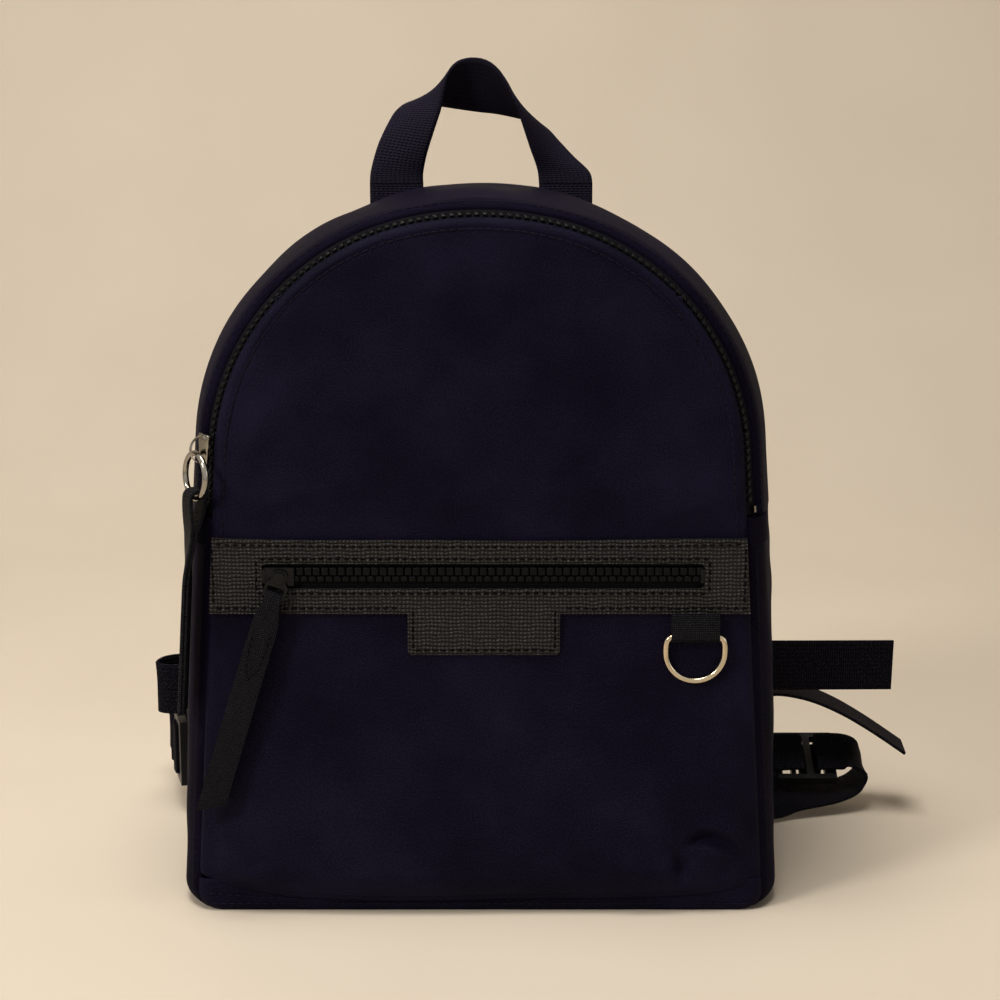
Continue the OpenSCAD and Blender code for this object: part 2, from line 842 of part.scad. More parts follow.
module sewn_loop() {
    inner = lock_bar_r + pin_gap;
    outer = inner + web_t;
    translate([lock_bar_x, 0, -web_w / 2])
        difference() {
            union() {
                cylinder(r = outer, h = web_w);
                translate([-sewn_l, -web_t, 0])
                    cube([sewn_l, 2 * web_t, web_w]);
            }
            translate([0, 0, -1])
                cylinder(r = inner, h = web_w + 2);
        }
}

// Webbing woven through the lock, in the frame of the ladder lock
weave_y = -lock_bar_r - pin_gap - web_t - move_gap - web_t / 2;
weave_end = 19;
weave_tail = -27;
over_y = lock_t / 2 + move_gap + web_t / 2;
weave_x = [
    mid_bar_x - mid_bar_w / 2 - slot_len / 2,
    mid_bar_x + mid_bar_w / 2 + slot_len / 2];

// Corners of the webbing from its tail, over the middle bar, to the end that carries the load
weave_bend = 1;
weave_corners = [
    [weave_tail, weave_y], [weave_x[0] - weave_bend, weave_y], [weave_x[0], weave_y + weave_bend],
    [weave_x[0], over_y - weave_bend], [weave_x[0] + weave_bend, over_y], [weave_x[1] - weave_bend, over_y],
    [weave_x[1], over_y - weave_bend], [weave_x[1], weave_y + weave_bend], [weave_x[1] + weave_bend, weave_y],
    [weave_end, weave_y]];

// Left lock: stands on edge at the side of the bag, with its lip to the front
left_lock_at = [-152, back_y + 22, 31];
left_lock_turn = -75;

module at_left_lock() {
    translate(left_lock_at)
        rotate([0, 0, left_lock_turn])
            children();
}

function from_left_lock(x, y, z = 0) = left_lock_at + [
    x * cos(left_lock_turn) - y * sin(left_lock_turn),
    x * sin(left_lock_turn) + y * cos(left_lock_turn),
    z];

// Right lock: lies on its back beside the bag, tilted towards the front
right_lock_at = [162.5, back_y + 25, 23];
right_lock_turn = -65;

module at_right_lock() {
    translate(right_lock_at)
        rotate([right_lock_turn, 0, 0])
            children();
}

function from_right_lock(x, y, z = 0) = right_lock_at + [
    x,
    y * cos(right_lock_turn) - z * sin(right_lock_turn),
    y * sin(right_lock_turn) + z * cos(right_lock_turn)];
right_across = [0, -sin(right_lock_turn), cos(right_lock_turn)];

pad_last = len(pad_route) - 1;
pad_way = unit(pad_route[pad_last] - pad_route[pad_last - 1]);
pad_root = pad_route[pad_last] + pad_way * layer_gap;
pad_below = pad_root + pad_way * 8;

function mirrored(p) = [-p[0], p[1], p[2]];

module pad_webbing_left() {
    route = [
        from_left_lock(lock_bar_x - sewn_l, 0), [-161, back_y + 55, 33], [-157, back_y + 63, 39],
        [-146, back_y + 64, 48], [-130, back_y + 56, 60], pad_below, pad_root];
    across = [
        [0, 0, 1], [0, 0, 1], [-0.1, 0, 1], [-0.35, 0, 0.9], [-0.6, 0, 0.75], pad_across[pad_last],
        pad_across[pad_last]];
    color("#1d1d26") {
        at_left_lock()
            sewn_loop();
        band(route, across, all_of(web_w, route), 2 * web_t);
    }
}

module pad_webbing_right() {
    route = [
        from_right_lock(lock_bar_x - sewn_l + 4, 0), from_right_lock(lock_bar_x - sewn_l - 1, 0),
        [122, back_y + 30, 28], [116, back_y + 35, 36],
        [110, back_y + 38, 50], mirrored(pad_below), mirrored(pad_root)];
    across = [
        right_across, right_across, [0.3, 0.8, 0.5], [0.6, 0.6, 0.5], [0.75, 0.3, 0.5],
        mirrored(pad_across[pad_last]),
        mirrored(pad_across[pad_last])];
    color("#1d1d26") {
        at_right_lock()
            sewn_loop();
        band(route, across, all_of(web_w, route), 2 * web_t);
    }
}

web_y = back_y + yoke_t + layer_gap + web_t / 2;

module lower_strap_left() {
    load = [
        [-142.5, back_y + 2.5, 30], [-138.5, back_y + 1, 28.5],
        [-134, back_y + 1.5, 26], [-129, web_y + 1, 22.5], [-122, web_y + 0.2, 20], [-104, web_y, anchor_z]];
    tail = [
        [-152.5, back_y + 53, 31.5], [-146, back_y + 55, 34],
        [-138, back_y + 52, 41], [-135, back_y + 43, 52], [-141, back_y + 33, 61], [-151, back_y + 25, 65],
        [-158, back_y + 18, 66], [-160.5, back_y + 12, 65], [-157.5, back_y + 8, 65], [-150, back_y + 7, 65],
        [-130, back_y + 7, 66], [-60, back_y + 7.5, 72], [60, back_y + 7.5, 77], [150, back_y + 8, 77],
        [203, back_y + 12, 76]];
    route = concat(turned(tail), [for (p = weave_corners) from_left_lock(p[0], -p[1])], load);
    color("#1d1d26")
        band(route, all_of([0, 0, 1], route), all_of(web_w, route), web_t);
}

module lower_strap_right() {
    load = [
        [187.5, back_y + 22, 25], [191.5, back_y + 21, 18.5],
        [186.5, back_y + 20, 11.5], [174.5, back_y + 16, 8.5],
        [154.5, back_y + 10, 8.5], [146.5, back_y + 6.5, 8.5],
        [141.5, back_y + 3.5, 9], [137.5, back_y + 4.6, 13.5],
        [132.5, back_y + 7, 15.5], [126.5, web_y + 1.4, 16.4],
        [120.5, web_y + 0.4, 16.8], [104, web_y, anchor_z]];
    load_across = [
        right_across, right_across, [0, 0.91, 0.4], [0, 0.91, 0.4], [0, 0.91, 0.4], [0, 0.91, 0.4],
        [0, 0.9, 0.42], [0, 0.4, 0.92], [0, 0.1, 1], [0, 0, 1], [0, 0, 1], [0, 0, 1]];
    tail = [
        [130.5, back_y + 23, 35], [129, back_y + 23, 41],
        [129.5, back_y + 23, 50], [134.5, back_y + 23, 57],
        [144.5, back_y + 22.5, 61], [160.5, back_y + 21.5, 59],
        [176.5, back_y + 19.5, 53], [192.5, back_y + 17.5, 44], [210.5, back_y + 15.5, 32]];
    tail_across = [
        [0, 0.92, 0.38], [0, 0.95, 0.3], [0, 0.98, 0.2], [0, 1, 0.1], [0, 1, 0], [0, 1, 0], [0, 1, 0],
        [0, 1, 0], [0, 1, 0]];
    route = concat(turned(tail), [for (p = weave_corners) from_right_lock(p[0], p[1])], load);
    across = concat(turned(tail_across), all_of(right_across, weave_corners), load_across);
    color("#1d1d26")
        band(route, across, all_of(web_w, route), web_t);
}

module lower_anchor() {
    half = web_w / 2 + 3;
    color("#15142a")
        sheet([
            [side_x(anchor_z) - 2, max(2, anchor_z - half)], [side_x(anchor_z) - 2, anchor_z + half],
            [side_x(anchor_z) - 40, anchor_z + half / 2], [side_x(anchor_z) - 40, anchor_z - half / 2]],
            back_y, yoke_t);
}

module lower_anchor_left() {
    mirror([1, 0, 0])
        lower_anchor();
}

module lower_anchor_right() {
    lower_anchor();
}

pocket_panel();
zip_facing();
pocket_lining();
leather_band();
hem_band();
lower_gusset();
top_gusset();
main_lining();
base_board();
back_panel();
back_foam();
back_lining();
gusset_zip_tape();
gusset_zip_teeth();
zip_end_tabs();
main_zip_stops();
pocket_zip_tapes();
pocket_zip_teeth();
pocket_zip_stops();
flap_panel();
flap_lining();
flap_rim();
flap_zip_tape();
flap_zip_teeth();
main_slider();
main_pull_ring();
main_puller();
pocket_slider();
pocket_pull_link();
pocket_puller();
d_ring_tab();
d_ring();
handle_tabs();
handle_strap();
strap_yoke();
color("#16152b") pad();  // pad_left
color("#3a3a3e") pad_solid(pad_skin + layer_gap);  // pad_foam_left
pad_webbing_left();
at_left_lock() ladder_lock();  // ladder_lock_left
lower_strap_left();
lower_anchor_left();
mirror([1, 0, 0]) color("#16152b") pad();  // pad_right
mirror([1, 0, 0]) color("#3a3a3e") pad_solid(pad_skin + layer_gap);  // pad_foam_right
pad_webbing_right();
at_right_lock() ladder_lock();  // ladder_lock_right
lower_strap_right();
lower_anchor_right();
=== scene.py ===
import json
import math

import bmesh
import bpy
import numpy as np
from mathutils import Matrix, Vector, noise


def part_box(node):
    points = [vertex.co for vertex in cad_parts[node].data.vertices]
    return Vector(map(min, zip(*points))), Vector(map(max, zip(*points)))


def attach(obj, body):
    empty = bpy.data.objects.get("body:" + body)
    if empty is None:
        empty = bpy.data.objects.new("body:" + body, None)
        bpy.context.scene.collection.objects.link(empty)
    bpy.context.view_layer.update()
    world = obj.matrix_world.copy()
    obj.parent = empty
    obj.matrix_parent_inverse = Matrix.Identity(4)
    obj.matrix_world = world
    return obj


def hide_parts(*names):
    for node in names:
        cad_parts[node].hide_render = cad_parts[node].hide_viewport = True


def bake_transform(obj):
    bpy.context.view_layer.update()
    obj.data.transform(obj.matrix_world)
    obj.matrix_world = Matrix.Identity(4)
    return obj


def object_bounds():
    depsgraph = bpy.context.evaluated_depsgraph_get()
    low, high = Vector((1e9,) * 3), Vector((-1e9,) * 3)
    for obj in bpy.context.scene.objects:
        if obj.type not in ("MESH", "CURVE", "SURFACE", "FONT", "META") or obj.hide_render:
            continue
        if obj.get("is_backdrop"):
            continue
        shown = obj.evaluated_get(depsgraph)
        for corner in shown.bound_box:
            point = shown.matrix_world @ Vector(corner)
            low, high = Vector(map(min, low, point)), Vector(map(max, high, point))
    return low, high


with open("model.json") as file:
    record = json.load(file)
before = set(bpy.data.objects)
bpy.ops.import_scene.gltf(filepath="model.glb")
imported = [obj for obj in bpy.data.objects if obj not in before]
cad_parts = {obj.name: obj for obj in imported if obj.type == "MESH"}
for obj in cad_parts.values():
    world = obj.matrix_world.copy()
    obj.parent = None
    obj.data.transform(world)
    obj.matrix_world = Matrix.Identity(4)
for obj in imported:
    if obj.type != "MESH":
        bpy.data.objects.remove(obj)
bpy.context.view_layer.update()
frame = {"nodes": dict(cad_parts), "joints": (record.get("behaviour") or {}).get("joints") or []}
mm = 0.001


# ---- Camera, floor and lamps ------------------------------------------------
# The bag stands on a pale floor that curves up into a wall behind it. Three large soft
# lamps light it from above, the left and the right.

class Value:
    """A socket that takes part in sums. Each sum adds its Math node."""

    def __init__(self, tree, socket):
        self.tree = tree
        self.socket = socket

    def maths(self, operation, *terms):
        node = self.tree.nodes.new("ShaderNodeMath")
        node.operation = operation
        for slot, term in zip(node.inputs, terms):
            if isinstance(term, Value):
                self.tree.links.new(term.socket, slot)
            else:
                slot.default_value = term
        return Value(self.tree, node.outputs[0])

    def __add__(self, other):
        return self.maths("ADD", self, other)

    def __radd__(self, other):
        return self.maths("ADD", other, self)

    def __sub__(self, other):
        return self.maths("SUBTRACT", self, other)

    def __rsub__(self, other):
        return self.maths("SUBTRACT", other, self)

    def __mul__(self, other):
        return self.maths("MULTIPLY", self, other)

    def __rmul__(self, other):
        return self.maths("MULTIPLY", other, self)

    def __pow__(self, other):
        return self.maths("POWER", self, other)

    def wave(self):
        return self.maths("SINE", self)

    def at_least(self, other):
        return self.maths("MAXIMUM", self, other)

    def at_most(self, other):
        return self.maths("MINIMUM", self, other)


class Finish:
    """The finish of a surface: what is the same all over is given by name, the rest is fed in."""

    def __init__(self, name, slot=None, **everywhere):
        self.slot = slot
        self.material = bpy.data.materials.new(name)
        self.material.use_nodes = True
        self.tree = self.material.node_tree
        self.shader = self.tree.nodes["Principled BSDF"]
        for socket, value in everywhere.items():
            self.shader.inputs[socket.replace("_", " ")].default_value = value

    def node(self, kind, settings=None, inputs=None, output=0):
        node = self.tree.nodes.new(kind)
        for key, value in (settings or {}).items():
            setattr(node, key, value)
        for key, value in (inputs or {}).items():
            if isinstance(value, Value):
                self.tree.links.new(value.socket, node.inputs[key])
            else:
                node.inputs[key].default_value = value
        return Value(self.tree, node.outputs[output])

    def lengths(self):
        """Lengths along and across the cloth, in metres, from the piece's UV map."""
        where = self.node("ShaderNodeTexCoord", output=2)
        return where, *(self.node("ShaderNodeSeparateXYZ", inputs={0: where}, output=i) for i in (0, 1))

    def spot(self):
        """Place on the piece, in metres, as one vector."""
        return self.node("ShaderNodeTexCoord", output=3)

    def place(self):
        """Place on the piece as a vector, and its three parts."""
        where = self.spot()
        return where, *(self.node("ShaderNodeSeparateXYZ", inputs={0: where}, output=i) for i in (0, 1, 2))

    def grain(self, where, scale, detail=2.0, rough=0.5):
        return self.node(
            "ShaderNodeTexNoise", {"noise_dimensions": "3D"},
            {"Vector": where, "Scale": scale, "Detail": detail, "Roughness": rough})

    def shade(self, share, dark, light):
        """A colour between two others, each either fixed or itself a shade."""
        ends = [colour if isinstance(colour, Value) else (*colour, 1) for colour in (dark, light)]
        return self.node("ShaderNodeMix", {"data_type": "RGBA"}, {0: share, 6: ends[0], 7: ends[1]}, output=2)

    def feed(self, **values):
        for socket, value in values.items():
            self.tree.links.new(value.socket, self.shader.inputs[socket.replace("_", " ")])

    def raised(self, height, distance, strength=1.0):
        self.feed(Normal=self.node(
            "ShaderNodeBump", {}, {"Height": height, "Distance": distance, "Strength": strength}))


scene = bpy.context.scene
scene.view_settings.view_transform = "Standard"

camera = bpy.data.objects.new("camera", bpy.data.cameras.new("camera"))
scene.collection.objects.link(camera)
scene.camera = camera
camera_x = 0.0088
camera.location = (camera_x, -0.985, 0.3924)
camera_aim = Vector((camera_x, -0.0575, 0.1876))
camera.rotation_euler = (camera_aim - camera.location).to_track_quat("-Z", "Y").to_euler()
camera.data.lens = 79.8
camera.data.sensor_width = 36

warm_white = (1.0, 0.95, 0.88)


def lamp(name, place, aim, width, watts):
    light = bpy.data.lights.new(name, "AREA")
    light.shape = "RECTANGLE"
    light.size = width
    light.size_y = width * 0.7
    light.energy = watts
    light.color = warm_white
    holder = bpy.data.objects.new(name, light)
    holder.location = place
    holder.rotation_euler = (Vector(aim) - Vector(place)).to_track_quat("-Z", "Y").to_euler()
    scene.collection.objects.link(holder)


lamp("lamp_above", (-0.2, -0.25, 1.6), (0, 0, 0.2), 0.9, 20)
lamp("lamp_left", (-1.25, -1.0, 1.2), (0, 0, 0.15), 0.4, 15)
lamp("lamp_right", (1.6, -0.5, 0.6), (0, 0, 0.15), 0.7, 1.2)

world = bpy.data.worlds.new("surroundings")
scene.world = world
world.use_nodes = True
world.node_tree.nodes["Background"].inputs[0].default_value = (*warm_white, 1)
ray = world.node_tree.nodes.new("ShaderNodeLightPath").outputs
seen, mirrored, through = (
    Value(world.node_tree, ray[kind]) for kind in ("Is Camera Ray", "Is Glossy Ray", "Is Transmission Ray"))
ambient = 0.13
backdrop_glow = 0.6
glow = (seen + mirrored + through).at_most(1) * backdrop_glow + ambient
world.node_tree.links.new(glow.socket, world.node_tree.nodes["Background"].inputs[1])

floor_finish = Finish("pale_floor", Roughness=0.75)
floor_finish.feed(Base_Color=floor_finish.shade(
    floor_finish.grain(floor_finish.spot(), 5.0), (0.67, 0.585, 0.475), (0.75, 0.665, 0.555)))

floor_front = -2.0
curve_y = 0.55
curve_r = 0.6
wall_h = 2.5
bm = bmesh.new()
bmesh.ops.create_grid(bm, x_segments=1, y_segments=1, size=3.0)
for v in bm.verts:
    v.co.y = floor_front if v.co.y < 0 else curve_y
edge = [e for e in bm.edges if all(v.co.y > 0 for v in e.verts)]
bmesh.ops.spin(
    bm, geom=edge, cent=(0, curve_y, curve_r), axis=(1, 0, 0), angle=math.pi / 2, steps=16, use_merge=False)
top = [e for e in bm.edges if all(v.co.z > 0.98 * curve_r for v in e.verts)]
wall = bmesh.ops.extrude_edge_only(bm, edges=top)["geom"]
bmesh.ops.translate(bm, verts=[g for g in wall if isinstance(g, bmesh.types.BMVert)], vec=(0, 0, wall_h))
bmesh.ops.recalc_face_normals(bm, faces=bm.faces)
mesh = bpy.data.meshes.new("floor")
bm.to_mesh(mesh)
bm.free()
mesh.shade_smooth()
floor = bpy.data.objects.new("floor", mesh)
scene.collection.objects.link(floor)
mesh.materials.append(floor_finish.material)
floor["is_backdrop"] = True


# ---- Front of the bag -------------------------------------------------------
# Navy nylon, cut as an arch above the fold and a pocket panel below the leather band.
# Its edge turns back to the zip and carries one row of stitching.

# The outline is an arch of two radii on straight sides that lean outwards to the base. The
# sides swell halfway back, and the front edge is edge_in narrower, over edge_back of depth.
depth = 115 * mm
front_y = -depth / 2
back_y = depth / 2
body_h = 314 * mm
base_w = 264 * mm
shoulder_w = 238 * mm
crown_r = 144 * mm
shoulder_r = 112 * mm
crown_cz = body_h - crown_r
shoulder_cx = shoulder_w / 2 - shoulder_r
shoulder_cz = crown_cz + math.sqrt((crown_r - shoulder_r) ** 2 - shoulder_cx ** 2)
join_a = math.atan2(shoulder_cz - crown_cz, shoulder_cx)
lean = math.atan2(-shoulder_cz, base_w / 2 - shoulder_cx) + math.acos(
    shoulder_r / math.hypot(base_w / 2 - shoulder_cx, shoulder_cz))
side_bulge = 9 * mm
crown_bulge = 3 * mm
edge_in = 7 * mm
edge_back = 16 * mm
corner_r = 9 * mm
fold_z = 179 * mm
face_y = front_y + 1.2 * mm
nylon_t = 1.1 * mm

# Lengths along the outline from the top: to the end of the arch, to the corner, to the base.
crown_len = crown_r * (math.pi / 2 - join_a)
arc_len = crown_len + shoulder_r * (join_a - lean)
arc_z = shoulder_cz + shoulder_r * math.sin(lean)
corner_s = arc_len + (arc_z - corner_r) / math.cos(lean)
bottom_s = corner_s + corner_r * math.pi / 2
middle_s = bottom_s + base_w / 2 - corner_r


def down_to(z):
    """Length along the outline from the top of the crown down to height z."""
    return arc_len + (arc_z - z) / math.cos(lean)


def outline(s, y, out=0.0):
    """Place on the outline of the bag, s along it from the top of the crown, right of it positive."""
    side = 1 if s >= 0 else -1
    s = abs(s)
    puff = math.sin(math.pi * (y - front_y) / depth)
    turned = edge_in * max(0.0, 1 - (y - front_y) / edge_back) ** 2
    if s < arc_len:
        on_crown = s < crown_len
        a = math.pi / 2 - s / crown_r if on_crown else join_a - (s - crown_len) / shoulder_r
        bulge = side_bulge + (crown_bulge - side_bulge) * math.sin(a) ** 2
        r = (crown_r if on_crown else shoulder_r) + out + puff * bulge - turned
        return (
            side * ((0 if on_crown else shoulder_cx) + r * math.cos(a)),
            (crown_cz if on_crown else shoulder_cz) + r * math.sin(a))
    z = max(corner_r, arc_z - (s - arc_len) * math.cos(lean))
    grow = puff * side_bulge * (0.45 + 0.55 * min(1, z / 0.11)) - turned
    x = base_w / 2 + (grow - z * math.sin(lean)) / math.cos(lean)
    if s < corner_s:
        return side * (x + out), z
    if s < bottom_s:
        a = (s - corner_s) / corner_r
        return (
            side * (x - corner_r + (corner_r + out) * math.cos(a)),
            corner_r - (corner_r + out) * math.sin(a))
    return side * (x - corner_r) * max(0, middle_s - s) / (middle_s - bottom_s), -out


def spread(u, v, bottom, right, top, left):
    """Place inside four joined border curves, each a function of 0 to 1."""
    b, t, l, r = bottom(u), top(u), left(v), right(v)
    corners = [bottom(0), bottom(1), top(0), top(1)]
    return [
        (1 - v) * b[i] + v * t[i] + (1 - u) * l[i] + u * r[i]
        - (1 - u) * (1 - v) * corners[0][i] - u * (1 - v) * corners[1][i]
        - (1 - u) * v * corners[2][i] - u * v * corners[3][i]
        for i in (0, 1)]


def mix(a, b, t):
    return a + (b - a) * t


def rim_at(y):
    """Points all round the outline."""
    return np.array([outline(s, y) for s in np.linspace(-middle_s, middle_s, 900)])


front_rim = rim_at(face_y)


def from_edge(x, z, rim=front_rim):
    """Distance from the edge of the front or back panel."""
    return float(np.min(np.hypot(rim[:, 0] - x, rim[:, 1] - z)))


def crease(x, z, ends, width, height):
    """Height of a soft fold that runs between two points and fades at both."""
    a, b = Vector(ends[:2]) * mm, Vector(ends[2:]) * mm
    way = b - a
    t = min(1, max(0, (Vector((x, z)) - a).dot(way) / way.length_squared))
    off = (Vector((x, z)) - a - way * t).length
    return height * mm * math.exp(-(off / (width * mm)) ** 1.4) * math.sin(math.pi * mix(0.12, 0.88, t))


def drift(x, z, size, seed):
    """Slow unevenness of hand-sewn cloth, from -1 to 1."""
    return noise.noise(Vector((x / size, z / size, seed)))


def add_piece(name, bm, finish, body, stands_for=(), smooth=True):
    """A finished piece in its place, on the body it moves with."""
    mesh = bpy.data.meshes.new(name)
    bm.to_mesh(mesh)
    bm.free()
    if smooth:
        mesh.shade_smooth()
    mesh.materials.append(finish.material)
    piece = bpy.data.objects.new(name, mesh)
    scene.collection.objects.link(piece)
    if body:
        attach(piece, body)
    if stands_for:
        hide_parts(*stands_for)
    return piece


def cut_cloth(columns, rows, place):
    """A grid of cloth laid out by a function of its two sides, 0 to 1, with lengths in metres as UV."""
    bm = bmesh.new()
    layer = bm.loops.layers.uv.new("cloth")
    bmesh.ops.create_grid(bm, x_segments=columns, y_segments=rows, size=0.5)
    lengths = {}
    for v in bm.verts:
        laid = place(v.co.x + 0.5, v.co.y + 0.5)
        v.co = laid[0]
        lengths[v] = laid[1]
    for face in bm.faces:
        for loop in face.loops:
            loop[layer].uv = lengths[loop.vert]
    return bm


def thicken(piece, thickness, offset=-1.0):
    wall = piece.modifiers.new("thickness", "SOLIDIFY")
    wall.thickness = thickness
    wall.offset = offset


def sew(name, bm, finish, body, stands_for, thickness, offset=-1.0):
    """A piece of cloth, its thickness behind its face unless offset says otherwise."""
    piece = add_piece(name, bm, finish, body, stands_for)
    thicken(piece, thickness, offset)
    return piece


def nylon(name, dark, light, gloss, rough):
    """Fine plain-woven nylon with a soft sheen."""
    cloth = Finish(name, "nylon", IOR=1.22, Specular_IOR_Level=gloss)
    where, along, across = cloth.lengths()
    threads = (along * 7900).wave() * (across * 7900).wave()
    slubs = cloth.grain(where, 1400, 1.0)
    clouds = cloth.grain(where, 16, 3.0, 0.6)
    # The colour's clouds give a random tone. The fine slubs give a random tone too, and also paint glints on
    # the weave where it is raised.
    tone_and_glints = threads * 0.22 + (clouds - 0.5) * 1.9 + (slubs - 0.5) * 2.4 + 0.43
    cloth.feed(
        Base_Color=cloth.shade(tone_and_glints.at_most(1).at_least(0), dark, light),
        Roughness=rough + (clouds - 0.5) * 0.18 + (slubs - 0.5) * 0.1)
    cloth.raised(threads * 0.5 + slubs * 0.9 + cloth.grain(where, 90, 2.0) * 1.2, 0.00025, 0.55)
    return cloth


navy = nylon("navy_nylon", (0.0028, 0.0024, 0.0076), (0.0122, 0.0104, 0.0288), 0.1, 0.42)
# A copy of the navy nylon with darker colours and less gloss. The darker colour is painted shade for the
# sides, which face away from the light. The yoke, anchors and zip end patches use it too.
shaded_navy = nylon("navy_nylon_shaded", (0.0026, 0.0021, 0.0060), (0.0088, 0.0070, 0.0190), 0.03, 0.5)

# Each fold is its two ends, across and up, then its width and its height, in millimetres.
panel_corner_s = 98 * mm
flap_folds = [
    ((-110, 192, -86, 232), 7, 2.0), ((-106, 182, -66, 192), 5, 1.6), ((-112, 206, -98, 240), 5, -1.4),
    ((94, 178, 112, 222), 6, 2.0), ((66, 176, 106, 188), 5, 1.5), ((-30, 184, 60, 190), 9, 0.8)]


def four_sides(u, v, bottom, low_s, y, out):
    """Place on a panel with a given bottom edge, its other three edges on the outline."""
    return spread(
        u, v, bottom,
        lambda t: outline(mix(low_s, panel_corner_s, t), y, out),
        lambda t: outline(mix(-panel_corner_s, panel_corner_s, t), y, out),
        lambda t: outline(mix(-low_s, -panel_corner_s, t), y, out))


def straight_foot(u, v, low_z, out=0.0):
    """Place on a front panel with a level bottom edge."""
    low_s = down_to(low_z)
    half = outline(low_s, face_y, out)[0]
    return four_sides(u, v, lambda t: (mix(-1, 1, t) * half, low_z), low_s, face_y, out)


def ridge(d, middle, width):
    """Height, 0 to 1, of a ridge along a seam, at distance d from the edge."""
    return math.exp(-((d - middle * mm) / (width * mm)) ** 2)


def upper_front(u, v):
    """The flap and the strip below it: a turned edge, a ridge along its seam, a full middle."""
    x, z = straight_foot(u, v, 166 * mm)
    d = from_edge(x, z)
    y = front_y + 2.1 * mm * max(0, 1 - d / (3.4 * mm)) ** 2 + 0.3 * mm * ridge(d, 4.6, 1.0)
    inner = min(1, d / 0.03) * min(1, max(0, z - 0.172) / 0.02)
    y -= inner * 1.6 * mm * math.exp(-((z - 0.235) / 0.06) ** 2)
    y -= inner * (1.7 * mm * drift(x, z, 0.075, 2.0) + 0.5 * mm * drift(x, z, 0.03, 4.0))
    y -= inner * sum(crease(x, z, *fold) for fold in flap_folds)
    return Vector((x, y, z)), (x, z)


flap = sew("front_flap", cut_cloth(110, 90, upper_front), navy, None,
           ("zip_facing", "flap_panel", "flap_rim"), nylon_t)
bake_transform(flap)

pocket_folds = [
    ((-121, 130, -108, 106), 4, 2.6), ((-116, 118, -108, 84), 4, -2.4), ((-104, 100, -84, 60), 9, 1.2),
    ((104, 120, 120, 104), 4, -2.0), ((108, 108, 116, 66), 7, 1.6), ((112, 90, 106, 50), 6, -1.2),
    ((86, 42, 118, 14), 15, -2.6), ((92, 33, 102, 37), 2.4, -4.4), ((99, 37, 112, 31), 2.6, -4.8),
    ((110, 32, 121, 19), 2.8, -4.6), ((95, 42, 114, 37), 4, 2.8), ((112, 38, 122, 27), 3.5, 2.2),
    ((97, 31, 110, 24), 4.2, 3.0), ((87, 29, 91, 13), 2.8, -4.2), ((81, 29, 85, 14), 4, 2.0),
    ((93, 26, 103, 13), 4.4, 2.4), ((104, 21, 119, 11), 3.2, -2.4), ((60, 24, 84, 12), 4.5, 1.6),
    ((-121, 24, -90, 12), 4, 3.0), ((-120, 40, -100, 20), 5, 2.0), ((-118, 14, -96, 26), 3.4, -2.2),
    ((-70, 18, 20, 13), 6, 1.2), ((-92, 70, -36, 40), 14, 1.2), ((30, 96, 88, 50), 14, 1.2)]


def lower_front(u, v):
    """The pocket panel: it sags over a rolled foot, which is drawn up at both corners."""
    high_z = 141 * mm
    roll = 0.06
    roll_r = 3.4 * mm
    v_up = max(0, (v - roll) / (1 - roll))
    low_z = (5 + 12 * math.exp(-u / 0.08) + 8 * math.exp(-(1 - u) / 0.12) + 0.5 * math.sin(u * 11 + 1)) * mm
    z = mix(low_z + roll_r, high_z, v_up)
    half = outline(down_to(max(z, corner_r)), face_y)[0] - 0.2 * mm
    half -= 2 * mm * max(0, 1 - z / (24 * mm)) ** 2
    x = mix(-1, 1, u) * half
    share = 1 - abs(2 * u - 1) ** 8
    rise = roll_r * (1 - v_up) ** 1.5 + 15 * mm * v_up ** 0.5 * (1 - v_up) ** 1.6
    uneven = 0.9 * mm * drift(x, z, 0.06, 7.0) * (1 - v_up)
    uneven += sum(crease(x, z, *fold) for fold in pocket_folds)
    rise += uneven * min(1, v_up * 12) * min(1, (1 - v_up) * 9)
    if v < roll:
        a = v / roll * math.pi / 2
        z = low_z + roll_r * (1 - math.cos(a))
        rise = roll_r * math.sin(a)
    edge_d = (1 - abs(2 * u - 1)) * half
    y = front_y + 0.2 * mm - rise * share * min(1, edge_d / 0.012 + 0.12)
    y += 1.1 * mm * max(0, 1 - edge_d / (3 * mm)) ** 2
    return Vector((x, y, z)), (x, z)


sew("pocket_front", cut_cloth(190, 140, lower_front), navy, "bag", ("pocket_panel",), nylon_t)


def base_hem(u, v):
    """The strip along the foot of the front, its lower corners round."""
    z = mix(0.4, 15, v) * mm
    half = outline(down_to(max(z, corner_r)), face_y)[0]
    half -= corner_r * (1 - math.sqrt(max(0, 1 - max(0, 1 - z / corner_r) ** 2)))
    x = mix(-1, 1, u) * half
    y = front_y - 0.5 * mm + 1.6 * mm * max(0, 1 - (1 - abs(2 * u - 1)) * half / (5 * mm)) ** 2
    y += 0.8 * mm * max(0, 1 - z / (3 * mm)) ** 2 + 0.25 * mm * drift(x, z, 0.02, 3.0)
    return Vector((x, y, z)), (x, z)


sew("base_hem", cut_cloth(120, 10, base_hem), navy, "bag", ("hem_band",), 0.8 * mm)


# ---- Sewing thread ----------------------------------------------------------
# Navy thread on the nylon and black thread on the leather, in short, slightly sunken
# stitches. Each group of rows is one piece.

def sewing_thread(name, dark, light, gloss, rough):
    yarn = Finish(name, Specular_IOR_Level=gloss)
    x, y, z = yarn.place()[1:]
    twist = ((x + z + y) * 9000).wave()
    yarn.feed(Base_Color=yarn.shade(twist * 0.5 + 0.5, dark, light), Roughness=rough + twist * 0.08)
    yarn.raised(twist, 0.0001, 0.5)
    return yarn


thread = sewing_thread("navy_thread", (0.0030, 0.0026, 0.0070), (0.0100, 0.0090, 0.0210), 0.08, 0.5)
black_thread = sewing_thread("black_thread", (0.0006, 0.0006, 0.0010), (0.0026, 0.0026, 0.0034), 0.05, 0.6)


